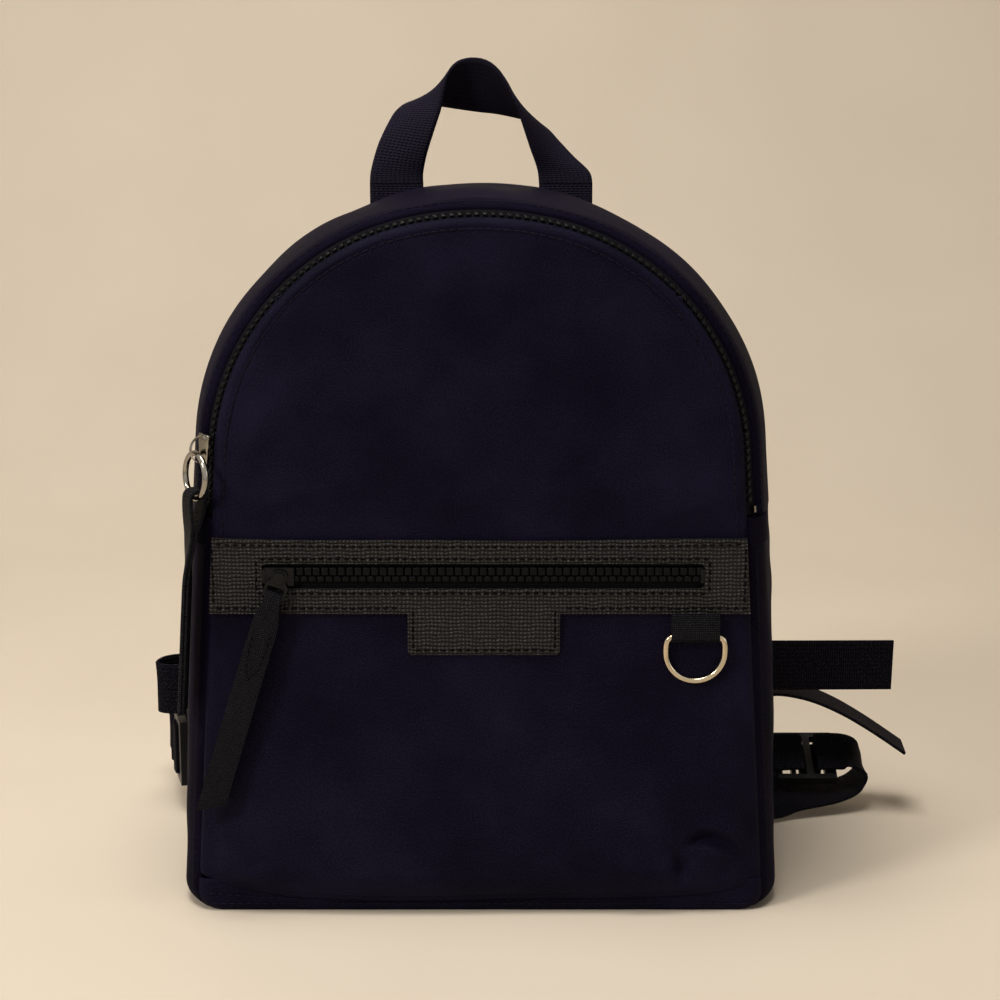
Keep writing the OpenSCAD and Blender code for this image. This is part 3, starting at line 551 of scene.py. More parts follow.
def small_block(length, width, height, round_off, segments=1):
    """A small bar with rounded edges, its length along X and its height along Z."""
    bm = bmesh.new()
    bmesh.ops.create_cube(bm, size=1)
    bmesh.ops.scale(bm, vec=(length, width, height), verts=bm.verts)
    bmesh.ops.bevel(
        bm, geom=bm.edges[:], offset=round_off, affect="EDGES", segments=segments, profile=0.5, material=-1)
    return bm


def join(bm, part, place=Matrix()):
    """Add a copy of a shape to another, moved to a place."""
    mesh = bpy.data.meshes.new("part")
    part.to_mesh(mesh)
    mesh.transform(place)
    bm.from_mesh(mesh)
    bpy.data.meshes.remove(mesh)


def strewn(seed, places):
    """Copies of one small shape at many places."""
    bm = bmesh.new()
    for place in places:
        join(bm, seed, place)
    seed.free()
    bmesh.ops.recalc_face_normals(bm, faces=bm.faces)
    return bm


def set_on(point, along, normal):
    """Frame with X along a row and Z out of the surface."""
    along, normal = Vector(along).normalized(), Vector(normal).normalized()
    across = normal.cross(along).normalized()
    normal = along.cross(across)
    return Matrix((
        (along.x, across.x, normal.x, point[0]), (along.y, across.y, normal.y, point[1]),
        (along.z, across.z, normal.z, point[2]), (0, 0, 0, 1)))


def evenly(path, pitch, start=0.0):
    """Places at an even pitch along a path given as points with normals."""
    points = [(Vector(p), Vector(n)) for p, n in path]
    found, want, gone = [], start, 0.0
    for (a, na), (b, nb) in zip(points, points[1:]):
        step = (b - a).length
        while step > 0 and want <= gone + step:
            t = (want - gone) / step
            found.append(set_on(a.lerp(b, t), b - a, na.lerp(nb, t)))
            want += pitch
        gone += step
    return found


def stitch(name, paths, body, finish=thread, pitch=3.8 * mm, length=2.7 * mm, width=0.6 * mm):
    """Rows of stitches along paths, each path a list of points with their normals."""
    places = [place for path in paths for place in evenly(path, pitch, pitch / 2)]
    seed = small_block(length, width, 0.46 * mm, 0.18 * mm)
    return add_piece(name, strewn(seed, places), finish, body)


forwards = (0, -1, 0)
backwards = (0, 1, 0)


def flat_rows(rows, y, normal=forwards):
    return [[((x * mm, y, z * mm), normal) for x, z in row] for row in rows]


row_in = 4.6 * mm
arch_end = down_to(184 * mm)
arch_row = []
for s in np.linspace(-arch_end, arch_end, 300):
    x, z = outline(s, face_y, -row_in)
    arch_row.append(((x, front_y - 0.15 * mm, z), forwards))
stitch("flap_stitches", [arch_row], "flap")
stitch("facing_stitches", [
    [((side * (outline(down_to(z * mm), face_y)[0] - row_in), front_y - 0.1 * mm, z * mm), forwards)
     for z in (172, 178)] for side in (-1, 1)], "bag")
stitch("hem_stitches", flat_rows([
    [(-120, 3.4), (120, 3.4)],
    [(-121, 8.4), (-100, 6.6), (-80, 5.6)]], front_y - 0.75 * mm), "bag")


# ---- Sides and base ---------------------------------------------------------
# One nylon band runs up the sides and over the crown behind the zip, with its front edge
# turned under. A second band, in front of it below the fold, wraps the sides and the base.

fold_s = down_to(fold_z)
top_front_y = front_y + 7 * mm
back_seam_y = back_y - nylon_t
deepest_dip = 1.9 * mm


def top_side(u, v):
    """The upper band: a turned front edge and shallow dips, most over the crown."""
    s = mix(-1, 1, u) * fold_s
    y = mix(top_front_y, back_seam_y, v)
    ahead = y - top_front_y
    out = 0.35 * mm * (ridge(ahead, 1.6, 1.2) - ridge(ahead, 4.0, 0.8))
    out -= 1.3 * mm * max(0, 1 - ahead / (0.8 * mm)) ** 2
    free = math.sin(math.pi * v) ** 0.7
    crown = max(0, 1 - abs(s) / 0.13)
    out -= free * crown * 1.7 * mm * abs(math.sin(s * 52 + y * 26 + 0.7)) ** 3
    out -= free * crown * 0.5 * mm * drift(s, y, 0.02, 5.0)
    out -= free * 0.9 * mm * drift(s, y, 0.045, 11.0)
    out = max(out, -deepest_dip) if v > 0.03 else out
    out -= 1.0 * mm * max(0, v - 0.98) / 0.02
    x, z = outline(s, y, out)
    return Vector((x, y, z)), (s, y)


sew("top_side_band", cut_cloth(260, 44, top_side), shaded_navy, "bag", ("top_gusset",), nylon_t)


def lower_side(u, v):
    """The lower band, wrinkled above the corners and flat under the base."""
    t = mix(-1, 1, u)
    s = mix(middle_s, fold_s - 0.3 * mm, abs(t)) * (1 if t >= 0 else -1)
    y = mix(-back_seam_y, back_seam_y, v)
    ahead = y + back_seam_y
    low = abs(s) > corner_s
    out = 0.3 * mm * ridge(ahead, 2.2, 1.0) - 0.8 * mm * max(0, 1 - ahead / (1.5 * mm)) ** 2
    if not low:
        up = corner_s - abs(s)
        free = math.sin(math.pi * v) ** 0.7 * min(1, up / 0.02)
        out -= free * (1.2 * mm * drift(s, y, 0.04, 21.0) + 0.5 * mm * drift(s, y, 0.015, 3.0))
        out -= free * 1.0 * mm * abs(math.sin(abs(s) * 70 - y * 40)) ** 3 * max(0, 1 - up / 0.07)
        out -= 0.7 * mm * max(0, 1 - (abs(s) - fold_s) / (1.2 * mm)) ** 2
    out -= 1.0 * mm * max(0, v - 0.98) / 0.02
    x, z = outline(s, y, min(out, 0) if low else out)
    return Vector((x, y, max(z, 0.0))), (s, y)


bm = cut_cloth(300, 44, lower_side)
bmesh.ops.reverse_faces(bm, faces=bm.faces)
sew("lower_side_band", bm, shaded_navy, "bag", ("lower_gusset",), nylon_t)


def side_row(y, s_from, s_to, out=0.1 * mm):
    """Row of stitches along the sides, its normals out of the bag."""
    row = []
    for s in np.linspace(s_from, s_to, 120):
        x, z = outline(s, y, out)
        x2, z2 = outline(s + 0.5 * mm, y, out)
        row.append(((x, y, z), (z - z2, 0, x2 - x)))
    return row


stitch("top_side_stitches", [side_row(front_y + 10.9 * mm, -fold_s, fold_s)], "bag")
stitch("lower_side_stitches", [
    side_row(front_y + 4.9 * mm, side * down_to(fold_z - 2 * mm), side * corner_s, 0.15 * mm)
    for side in (-1, 1)], "bag")


# ---- Linings and base board -------------------------------------------------
# Thin black-blue polyester, hung loose behind the nylon of the sides, back, pocket and flap
# and sewn in at their seams, and a stiff grey board laid in the base.

def satin_lining():
    cloth = Finish("lining_cloth", "lining", IOR=1.3, Specular_IOR_Level=0.5)
    where, along, across = cloth.lengths()
    twill = ((along + across) * 6300).wave()
    clouds = cloth.grain(where, 22, 2.0)
    cloth.feed(
        Base_Color=cloth.shade(clouds * 0.7 + twill * 0.1, (0.012, 0.012, 0.022), (0.030, 0.030, 0.048)),
        Roughness=0.42 + (clouds - 0.5) * 0.2)
    cloth.raised(twill * 0.4 + clouds * 2.0, 0.0003, 0.4)
    return cloth


lining = satin_lining()
back_lining_y = back_y - 9.9 * mm
pocket_lining_y = front_y + 10.5 * mm
flap_lining_y = front_y + 1.6 * mm


def side_lining(u, v):
    t = mix(-1, 1, u)
    s = mix(middle_s, 0, abs(t)) * (1 if t >= 0 else -1)
    y = mix(front_y + 8.3 * mm, back_lining_y - 0.6 * mm, v)
    low = abs(s) > corner_s - 8 * mm
    out = -2.6 * mm - (0 if low else mm * (1 + drift(s, y, 0.03, 31.0)) * math.sin(math.pi * v))
    x, z = outline(s, y, out)
    return Vector((x, y, z)), (s, y)


bm = cut_cloth(260, 24, side_lining)
bmesh.ops.remove_doubles(bm, verts=bm.verts, dist=0.2 * mm)
bmesh.ops.reverse_faces(bm, faces=bm.faces)
sew("side_lining", bm, lining, "bag", ("main_lining",), 0.7 * mm)


def whole_panel(u, v, y, inset):
    """Place on a panel as large as the whole outline."""
    mid_corner = corner_s + corner_r * math.pi / 4

    def bottom(t):
        side = mix(-1, 1, t)
        return outline(mix(middle_s, mid_corner, abs(side)) * (1 if side >= 0 else -1), y, -inset)

    return four_sides(u, v, bottom, mid_corner, y, -inset)


def back_lining(u, v):
    x, z = whole_panel(u, v, back_lining_y, 3.6 * mm)
    return Vector((x, back_lining_y + 0.3 * mm * drift(x, z, 0.05, 41.0), z)), (x, z)


sew("back_lining_cloth", cut_cloth(60, 70, back_lining), lining, "bag", ("back_lining",), 0.6 * mm, 0)


def pocket_lining(u, v):
    z = mix(4 * mm, fold_z - mm, v)
    half = outline(down_to(max(z, corner_r)), pocket_lining_y)[0] - 3.4 * mm
    x = mix(-1, 1, u) * half
    return Vector((x, pocket_lining_y + 0.5 * mm * drift(x, z, 0.04, 51.0), z)), (x, z)


sew("pocket_lining_cloth", cut_cloth(60, 50, pocket_lining), lining, "bag", ("pocket_lining",), 0.6 * mm, 0)


def flap_lining(u, v):
    low_z = fold_z + 0.6 * mm
    x, z = straight_foot(u, v, low_z, -3.4 * mm)
    return Vector((x, flap_lining_y + 0.25 * mm * drift(x, z, 0.05, 61.0), z)), (x, z)


sew("flap_lining_cloth", cut_cloth(60, 50, flap_lining), lining, "flap", ("flap_lining",), 0.5 * mm, 0)

board = Finish("grey_board", "board", Roughness=0.85)
fibre = board.grain(board.spot(), 700, 3.0)
board.feed(Base_Color=board.shade(fibre, (0.10, 0.10, 0.10), (0.17, 0.17, 0.165)))
board.raised(fibre, 0.0002, 0.4)


def keep(node, finish):
    """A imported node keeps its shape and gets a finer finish."""
    found = frame["nodes"][node]
    found.data.materials.clear()
    found.data.materials.append(finish.material)


keep("base_board", board)


# ---- Padded back ------------------------------------------------------------
# Nylon over 8 mm foam, sewn to the sides all round. Two sewn lines across it press the
# foam down and keep it from shifting.

back_rim_y = back_y - 0.6 * mm
back_rim = rim_at(back_rim_y)
foam_t = 8.5 * mm
sewn_lines = (92, 218)


def back_pad(u, v):
    x, z = whole_panel(u, v, back_rim_y, 0.2 * mm)
    d = from_edge(x, z, back_rim)
    y = back_y + 0.1 * mm - 1.6 * mm * max(0, 1 - d / (5 * mm)) ** 2
    for line in sewn_lines:
        y -= 1.5 * mm * ridge(z, line, 2.6) * min(1, d / (8 * mm))
    y -= 0.5 * mm * (1 + drift(x, z, 0.05, 71.0)) * min(1, d / (10 * mm))
    return Vector((x, y, z)), (x, z)


bm = cut_cloth(110, 130, back_pad)
inner_face = bm.verts[:]
bmesh.ops.extrude_face_region(bm, geom=bm.verts[:] + bm.edges[:] + bm.faces[:], use_keep_orig=True)
bmesh.ops.translate(bm, vec=(0, -foam_t, 0), verts=inner_face)
bmesh.ops.recalc_face_normals(bm, faces=bm.faces)
back_padding = add_piece("back_padding", bm, navy, "bag", ("back_panel", "back_foam"))
back_rows = [[(-104, z), (104, z)] for z in sewn_lines]
stitch("back_stitches", flat_rows(back_rows, back_y - 1.7 * mm, backwards), "bag")


# ---- Leather band across the front ------------------------------------------
# Black cross-grained leather with a long window for the pocket zip and a plain tongue
# below its middle, cut in one, its edges painted and its outline sewn with black thread.

def cross_grain(name, dark, light, pitch, gloss, by_place=False):
    """Pressed leather with a fine square grain, its highlights on the raised grain and the shade in its
    hollows painted into the colour.
    """
    hide = Finish(name, "leather", IOR=1.4, Specular_IOR_Level=gloss)
    if by_place:
        where, across, _, along = hide.place()
    else:
        where, along, across = hide.lengths()
    wobble = hide.grain(where, 190, 2.0) * 0.0016
    turn = 2 * math.pi / pitch
    ups = (((along + wobble) * turn).wave() * 0.5 + 0.5) ** 0.6
    overs = (((across + wobble) * turn).wave() * 0.5 + 0.5) ** 0.6
    cells = hide.node("ShaderNodeTexVoronoi", {"feature": "F1"}, {"Vector": where, "Scale": 1500})
    blocks = ups * (overs * 0.6 + 0.4) * (0.5 + 0.95 * hide.grain(where, 430, 2.0))
    clouds = hide.grain(where, 35, 3.0)
    # Base colour: the raised blocks are painted light as highlights on the grain and the gaps painted dark as
    # shade in its hollows, with a random tone from the clouds.
    sheen = blocks * blocks * 0.95 + (clouds - 0.5) * 0.3
    hide.feed(
        Base_Color=hide.shade(sheen.at_most(1).at_least(0), dark, light),
        Roughness=0.3 + (1 - blocks) * 0.35 + (clouds - 0.5) * 0.15)
    hide.raised(blocks + cells * 0.15, 0.0007, 1.0)
    return hide


# The pale colour of the band leather is the painted highlight on its raised grain.
band_leather = cross_grain(
    "black_cross_grain", (0.0016, 0.0014, 0.0014), (0.0360, 0.0315, 0.0285), 1.7 * mm, 0.25, True)
strip_leather = cross_grain(
    "black_cross_grain_strips", (0.0026, 0.0026, 0.0036), (0.0200, 0.0200, 0.0264), 0.9 * mm, 0.08)

band_low, band_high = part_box("leather_band")
band_foot, band_top = 137.5 * mm, 171 * mm
tongue_foot = 119 * mm
window_left, window_right, window_foot, window_top = -94 * mm, 97 * mm, 148.75 * mm, 159.75 * mm
tongue_left, tongue_right = -31.2 * mm, 34.8 * mm

bm = bmesh.new()
bmesh.ops.create_grid(bm, x_segments=1, y_segments=1, size=0.5)
for v in bm.verts:
    across, up = v.co.x + 0.5, v.co.y + 0.5
    v.co = (mix(band_low.x, band_high.x, across), front_y - 0.3 * mm, mix(tongue_foot, band_top, up))


def slice_at(bm, point, normal):
    bmesh.ops.bisect_plane(
        bm, geom=bm.verts[:] + bm.edges[:] + bm.faces[:], plane_co=point, plane_no=normal, dist=1e-7)


for x in (window_left, window_right, tongue_left, tongue_right):
    slice_at(bm, (x, 0, 0), (1, 0, 0))
for z in (band_foot, window_foot, window_top):
    slice_at(bm, (0, 0, z), (0, 0, 1))
cut_away = []
for face in bm.faces:
    c = face.calc_center_median()
    below = c.z < band_foot and not tongue_left < c.x < tongue_right
    in_window = window_left < c.x < window_right and window_foot < c.z < window_top
    if below or in_window:
        cut_away.append(face)
bmesh.ops.delete(bm, geom=cut_away, context="FACES")
corners = []
for v in bm.verts:
    on_window = min(abs(v.co.x - window_left), abs(v.co.x - window_right)) < mm
    if v.co.z < tongue_foot + mm or on_window and window_foot - mm < v.co.z < window_top + mm:
        corners.append(v)
bmesh.ops.bevel(bm, geom=corners, offset=2.0 * mm, affect="VERTICES", segments=4, profile=0.5, material=-1)
for z in np.arange(122, 171, 3.0):
    slice_at(bm, (0, 0, z * mm), (0, 0, 1))
for x in np.arange(-114, 118, 6.0):
    slice_at(bm, (x * mm, 0, 0), (1, 0, 0))
for v in bm.verts:
    if abs(v.co.x) > 100 * mm:
        half = outline(down_to(v.co.z), face_y)[0] - 0.4 * mm
        v.co.x = math.copysign(min(abs(v.co.x), half) if abs(v.co.x) < 115 * mm else half, v.co.x)
    above = max(0, (v.co.z - 160 * mm) / (11 * mm))
    v.co.z -= above * (1.1 * math.cos(v.co.x / (118 * mm) * math.pi / 2) + 0.25 * math.sin(v.co.x * 60)) * mm
    v.co.y -= 0.15 * mm * drift(v.co.x, v.co.z, 0.03, 81.0)
bmesh.ops.recalc_face_normals(bm, faces=bm.faces)
if sum(f.normal.y for f in bm.faces) > 0:
    bmesh.ops.reverse_faces(bm, faces=bm.faces)
band = add_piece("leather_front_band", bm, band_leather, "bag", ("leather_band",), smooth=False)
thicken(band, 1.5 * mm, 1.0)


def round_edges(piece, width, segments=2, sharper_than=50):
    soft = piece.modifiers.new("rounded_edges", "BEVEL")
    soft.width = width
    soft.segments = segments
    soft.limit_method = "ANGLE"
    soft.angle_limit = math.radians(sharper_than)


round_edges(band, 0.45 * mm, 3, 30)
stitch("band_stitches", flat_rows([
    [(-114, 168.3), (-60, 167.6), (0, 167.3), (60, 167.6), (114, 168.3)],
    [(-114.5, 140), (-33.5, 140)], [(37, 140), (114.5, 140)],
    [(-29, 139.5), (-29, 121.2)], [(-28.5, 121.2), (32.3, 121.2)], [(32.6, 121.5), (32.6, 139.5)],
    [(-96.2, 146.6), (99.2, 146.6)], [(99.3, 147), (99.3, 161.8)],
    [(99.2, 161.9), (-96.2, 161.9)], [(-96.3, 161.8), (-96.3, 147)],
    [(-115, 142), (-115, 167)], [(114.6, 142), (114.6, 167)]], front_y - 1.9 * mm),
    "bag", black_thread, 3.6 * mm, 2.1 * mm, 0.8 * mm)


# ---- Pocket zip -------------------------------------------------------------
# Black woven tape, sewn behind the window of the band, with two rows of square glossy
# moulded teeth.

def zip_tape():
    tape = Finish("black_zip_tape", "coil", IOR=1.2, Specular_IOR_Level=0.12)
    _, along, across = tape.lengths()
    ribs = (along * 9000).wave() * 0.6 + (across * 6000).wave() * 0.4
    tape.feed(
        Base_Color=tape.shade(ribs * 0.4 + 0.5, (0.0025, 0.0025, 0.0035), (0.009, 0.009, 0.012)),
        Roughness=0.65 + ribs * 0.08)
    tape.raised(ribs, 0.0002, 0.6)
    return tape


tape = zip_tape()
tape_t = 0.6 * mm
tooth_pitch = 3.6
teeth = Finish("glossy_black_teeth", "coil", IOR=1.4, Specular_IOR_Level=0.14)
spot = teeth.spot()
moulded = teeth.grain(spot, 420, 1.0)
teeth.feed(
    Base_Color=teeth.shade(moulded, (0.0008, 0.0008, 0.0012), (0.0036, 0.0036, 0.0044)),
    Roughness=0.16 + (moulded - 0.35).at_least(0) * 1.2)
teeth.raised(teeth.grain(spot, 500, 1.0), 0.0006, 0.7)


def flat_strip(x0, x1, z0, z1, y):
    def place(u, v):
        x, z = mix(x0, x1, u) * mm, mix(z0, z1, v) * mm
        return Vector((x, y, z)), (x, z)
    return place


for name, z0, z1, stands_for in (
        ("pocket_tape_lower", 145.9, 154.1, ("pocket_zip_tapes",)), ("pocket_tape_upper", 154.4, 162.7, ())):
    strip = flat_strip(-97, 100, z0, z1, front_y + 0.1 * mm)
    sew(name, cut_cloth(20, 3, strip), tape, "bag", stands_for, tape_t)
for name, first_x, z, deep, size, stands_for in (
        ("pocket_teeth_upper", -92.0, 156.3, 0.6, (3.0, 1.9, 3.5, 0.35), ("pocket_zip_teeth",)),
        ("pocket_teeth_lower", -90.2, 152.9, 0.5, (3.0, 1.6, 2.3, 0.3), ())):
    places = [Matrix.Translation((x * mm, front_y - deep * mm, z * mm))
              for x in np.arange(first_x, 95.5, tooth_pitch)]
    tooth = small_block(*(part * mm for part in size), 2)
    add_piece(name, strewn(tooth, places), teeth, "bag", stands_for)


# ---- Main zip ---------------------------------------------------------------
# The same tape in the turned edge of the bag, from the fold up one side, over the crown and
# down the other, with smaller teeth. One half opens with the flap.

zip_y = front_y + 5 * mm


def side_strip(y0, y1, out, s0, s1):
    def place(u, v):
        s, y = mix(s0, s1, u), mix(y0, y1, v)
        x, z = outline(s, y, out)
        return Vector((x, y, z)), (s, y)
    return place


flap_zip_s = down_to(217.5 * mm)
under = -1.5 * mm
strip = side_strip(zip_y + 0.1 * mm, zip_y + 8.9 * mm, under, -fold_s, fold_s)
sew("side_zip_tape", cut_cloth(160, 5, strip), tape, "bag", ("gusset_zip_tape",), tape_t)
strip = side_strip(zip_y - 3.4 * mm, zip_y, under, -flap_zip_s + mm, flap_zip_s - mm)
sew("flap_tape", cut_cloth(140, 4, strip), tape, "flap", ("flap_zip_tape",), tape_t)
for side, label in ((-1, "left"), (1, "right")):
    ends = sorted((side * flap_zip_s, side * (fold_s - mm)))
    strip = side_strip(zip_y - 3.1 * mm, zip_y, under, *ends)
    sew("zip_end_tape_" + label, cut_cloth(20, 4, strip), tape, "bag", (), tape_t)


def teeth_row(y, s0, s1, shift, deep=0.7 * mm):
    """Frames for teeth along the outline at one side of the zip."""
    places = []
    s = s0 + shift
    while s < s1:
        x, z = outline(s, y, -deep)
        ahead = outline(s + 0.4 * mm, y, -deep)
        back = outline(s, y + 0.5 * mm, -deep)
        along = Vector((ahead[0] - x, 0, ahead[1] - z))
        inwards = Vector((back[0] - x, 0.5 * mm, back[1] - z))
        normal = along.cross(inwards)
        if normal.dot(Vector((x, 0, z - 0.12))) < 0:
            normal = -normal
        places.append(set_on((x, y, z), along, normal))
        s += tooth_pitch * mm
    return places


row_end = down_to(185 * mm)
flap_row_y = zip_y - 1.6 * mm
side_places = teeth_row(zip_y - 0.1 * mm, -row_end, row_end, 0, 1.5 * mm)
flap_places = teeth_row(flap_row_y, -flap_zip_s + 3.8 * mm, flap_zip_s - mm, 0)
end_places = teeth_row(flap_row_y, -row_end, -flap_zip_s, 1.8 * mm)
end_places += teeth_row(flap_row_y, flap_zip_s, row_end, 1.8 * mm)
for name, places, body, stands_for in (
        ("side_teeth", side_places, "bag", ("gusset_zip_teeth",)),
        ("flap_teeth", flap_places, "flap", ("flap_zip_teeth",)), ("end_teeth", end_places, "bag", ())):
    tooth = small_block(2.2 * mm, 1.5 * mm, 1.1 * mm, 0.28 * mm)
    add_piece(name, strewn(tooth, places), teeth, body, stands_for)


def metal(name, slot, dark, light, rough):
    """Plated metal with faint wear."""
    plate = Finish(name, slot, Metallic=1.0)
    spot = plate.spot()
    wear = plate.grain(spot, 160, 3.0)
    plate.feed(
        Base_Color=plate.shade(wear, dark, light),
        Roughness=rough + (wear - 0.5) * 0.12)
    plate.raised(plate.grain(spot, 1200, 2.0), 0.00004, 0.25)
    return plate


# The nickel's colour is darker than bare metal: a painted reflection of dark surroundings.
nickel = metal("nickel_plate", "nickel", (0.20, 0.185, 0.16), (0.42, 0.39, 0.34), 0.1)
pale_gold = metal("pale_gold_plate", "pale_gold", (0.46, 0.38, 0.26), (0.72, 0.62, 0.46), 0.15)

enamel = Finish("black_enamel", "black_metal", Specular_IOR_Level=0.12, Coat_Weight=0.04, Coat_Roughness=0.1)
chips = enamel.grain(enamel.spot(), 300, 3.0)
enamel.feed(
    Base_Color=enamel.shade(chips, (0.002, 0.002, 0.003), (0.010, 0.010, 0.011)),
    Roughness=0.2 + (chips - 0.5) * 0.2)
enamel.raised(chips, 0.0001, 0.3)

keep("main_zip_stops", nickel)
keep("pocket_zip_stops", enamel)


def eased(node, name, finish, body, width, segments=2):
    """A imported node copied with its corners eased."""
    bm = bmesh.new()
    bm.from_mesh(frame["nodes"][node].data)
    bmesh.ops.remove_doubles(bm, verts=bm.verts, dist=0.01 * mm)
    bmesh.ops.dissolve_limit(bm, angle_limit=math.radians(1), verts=bm.verts, edges=bm.edges)
    round_edges(add_piece(name, bm, finish, body, (node,), smooth=False), width, segments, 40)


eased("zip_end_tabs", "zip_end_patches", shaded_navy, "bag", 0.3 * mm)


# ---- Main slider, ring and puller -------------------------------------------
# Nickel slider with a round bail, a wire ring through it, and a long leather strip that is
# folded round the ring, its two layers sewn together below the fold.

slider_turn = math.radians(40.2)
slider_z = 209 * mm
slider_at = (
    Matrix.Scale(-1, 4, (1, 0, 0))
    @ Matrix.Translation((outline(down_to(slider_z), zip_y, 0.5 * mm)[0], zip_y, slider_z))
    @ Matrix.Rotation(-lean, 4, "Y")
    @ Matrix.Rotation(-slider_turn, 4, "Z"))

bm = bmesh.new()
bmesh.ops.create_cube(bm, size=1)
bmesh.ops.scale(bm, vec=(1.6 * mm, 7.4 * mm, 13 * mm), verts=bm.verts)
bmesh.ops.translate(bm, vec=(1.1 * mm, 0, 0), verts=bm.verts)
slice_at(bm, (0, 0, 0), (0, 0, 1))
slice_at(bm, (0, 0, 3.5 * mm), (0, 0, 1))
for v in bm.verts:
    if v.co.z < -3 * mm:
        v.co.y *= 0.72
    elif v.co.z < 1 * mm:
        v.co.y *= 0.82
bmesh.ops.bevel(
    bm, geom=[e for e in bm.edges if e.calc_face_angle(0) > 0.3], offset=0.45 * mm,
    affect="EDGES", segments=3, profile=0.5, material=-1)
bail = bmesh.new()
bmesh.ops.create_circle(bail, cap_ends=True, radius=0.95 * mm, segments=12,
                        matrix=Matrix.Translation((0, 0, 6.1 * mm)))
bmesh.ops.spin(bail, geom=bail.verts[:] + bail.edges[:] + bail.faces[:], cent=(0, 0, 0), axis=(0, 1, 0),
               angle=math.pi, steps=18, use_merge=False)
bmesh.ops.translate(bail, vec=(1.8 * mm, 0, 0), verts=bail.verts)
join(bm, bail)
bail.free()
bmesh.ops.transform(bm, matrix=slider_at, verts=bm.verts)
bmesh.ops.recalc_face_normals(bm, faces=bm.faces)
add_piece("main_zip_slider", bm, nickel, "main_slider", ("main_slider",))
keep("main_pull_ring", nickel)


def along_curve(points, t):
    """Place at 0 to 1 on a smooth curve through points."""
    last = len(points) - 1
    i = min(int(t * last), last - 1)
    f = t * last - i
    a, b, c, d = (Vector(points[min(max(k, 0), last)]) for k in (i - 1, i, i + 1, i + 2))
    bend, twist = 2 * a - 5 * b + 4 * c - d, 3 * b - 3 * c + d - a
    return 0.5 * (2 * b + (c - a) * f + bend * f * f + twist * f ** 3)


def strap_cloth(route, across, widths, steps=6, columns=6):
    """A flat strap along a smooth route, across and widths given once or for each point."""
    across = across if isinstance(across, list) else [across] * len(route)
    widths = widths if isinstance(widths, list) else [widths] * len(route)
    rows = (len(route) - 1) * steps
    middles = [along_curve(route, i / rows) for i in range(rows + 1)]
    gone = [0.0]
    for a, b in zip(middles, middles[1:]):
        gone.append(gone[-1] + (b - a).length)

    def place(u, v):
        i = round(u * rows)
        way = (middles[min(i + 1, rows)] - middles[max(i - 1, 0)]).normalized()
        side = along_curve(across, u)
        side = (side - way * side.dot(way)).normalized()
        off = along_curve([(w, 0, 0) for w in widths], u).x * (v - 0.5)
        return middles[i] + side * off, (gone[i], off)

    return cut_cloth(rows, columns, place)


def strap(name, route, across, widths, thickness, finish, body, stands_for=(), **shape):
    piece = sew(name, strap_cloth(route, across, widths, **shape), finish, body, stands_for, thickness, 0)
    round_edges(piece, 0.35 * mm)
    return piece


ring_at = slider_at @ Matrix.Translation((5.0 * mm, 0, -11.4 * mm)) @ Matrix.Rotation(math.radians(7), 4, "Z")
puller_at = ring_at @ Matrix.Translation((0, 0, -9.7 * mm))
pull_turn = math.radians(33.2)
# Two layers that follow one slight bow below the ring, with a fold over the ring.
layer = 0.85
fold_r = 3.3
bow = [(2.2, -96), (2.2, -80), (2.2, -64), (2.15, -48), (2.1, -34), (1.6, -23)]
front_layer = [(x + layer, z) for x, z in bow] + [(1.3 + layer, -16), (2.7, -9), (fold_r, -3)]
over = [(fold_r * math.cos(a), fold_r * math.sin(a)) for a in np.linspace(0.3, math.pi - 0.3, 5)]
back_layer = [(-fold_r, -3), (-1.9, -9), (1.1 - layer, -16)] + [(x - layer, z) for x, z in reversed(bow)]
loop = front_layer + over + back_layer


def turned_side(z):
    """Width direction of the puller, which twists edge-on below the ring."""
    a = pull_turn * min(1, max(0, (-z - 6) / 30))
    return puller_at.to_3x3() @ Vector((-math.sin(a), math.cos(a), 0))


strap("main_leather_puller", [puller_at @ (Vector((x, 0, z)) * mm) for x, z in loop],
      [turned_side(z) for x, z in loop], [(8 + 4 * min(1, max(0, -z - 4) / 14)) * mm for x, z in loop],
      1.5 * mm, strip_leather, "main_puller", ("main_puller",), steps=4)


# ---- Pocket slider, link and puller -----------------------------------------
# Black enamelled slider with a stud; a small frame turns on the stud and holds the puller,
# a leather strip folded and sewn with a narrow loop of stitches, its end cut at a slant.

eased("pocket_slider", "pocket_zip_slider", enamel, "pocket_slider", 0.35 * mm)
keep("pocket_pull_link", enamel)

pin = next(Vector(joint["pos_m"]) for joint in frame["joints"] if joint["name"] == "pocket_puller_swing")
slant = math.radians(17)
hang = Vector((-math.sin(slant), 0, -math.cos(slant)))
sideways = Vector((math.cos(slant), 0, -math.sin(slant)))


def pocket_pull(forward, down):
    """Place on the puller, which leans forward over the band as it hangs."""
    return pin + Vector((0, -(forward + 4.6 * min(1, max(0, down) / 48) ** 1.3) * mm, 0)) + hang * down * mm


pocket_loop = [(0.75, 98), (0.75, 70), (0.75, 40), (0.8, 22), (1.3, 10), (1.75, 4)]
pocket_loop += [(1.75 * math.cos(a), -1.75 * math.sin(a)) for a in np.linspace(0.3, math.pi - 0.3, 5)]
pocket_loop += [(-1.75, 4), (-1.1, 10), (-0.75, 22), (-0.75, 40), (-0.75, 70), (-0.75, 98)]
pocket_widths = [(7.5 + 4.3 * min(1, max(0, d - 3) / 9)) * mm for f, d in pocket_loop]
bm = strap_cloth([pocket_pull(f, d) for f, d in pocket_loop], sideways, pocket_widths, 4)
slant_from = 90 * mm
for v in bm.verts:
    down = (v.co - pin).dot(hang)
    if down > slant_from:
        v.co += hang * (v.co - pin).dot(-sideways) * 0.55 * min(1, (down - slant_from) / (7 * mm))
round_edges(sew("pocket_leather_puller", bm, strip_leather, "pocket_puller", ("pocket_puller",), 1.4 * mm, 0),
            0.35 * mm)


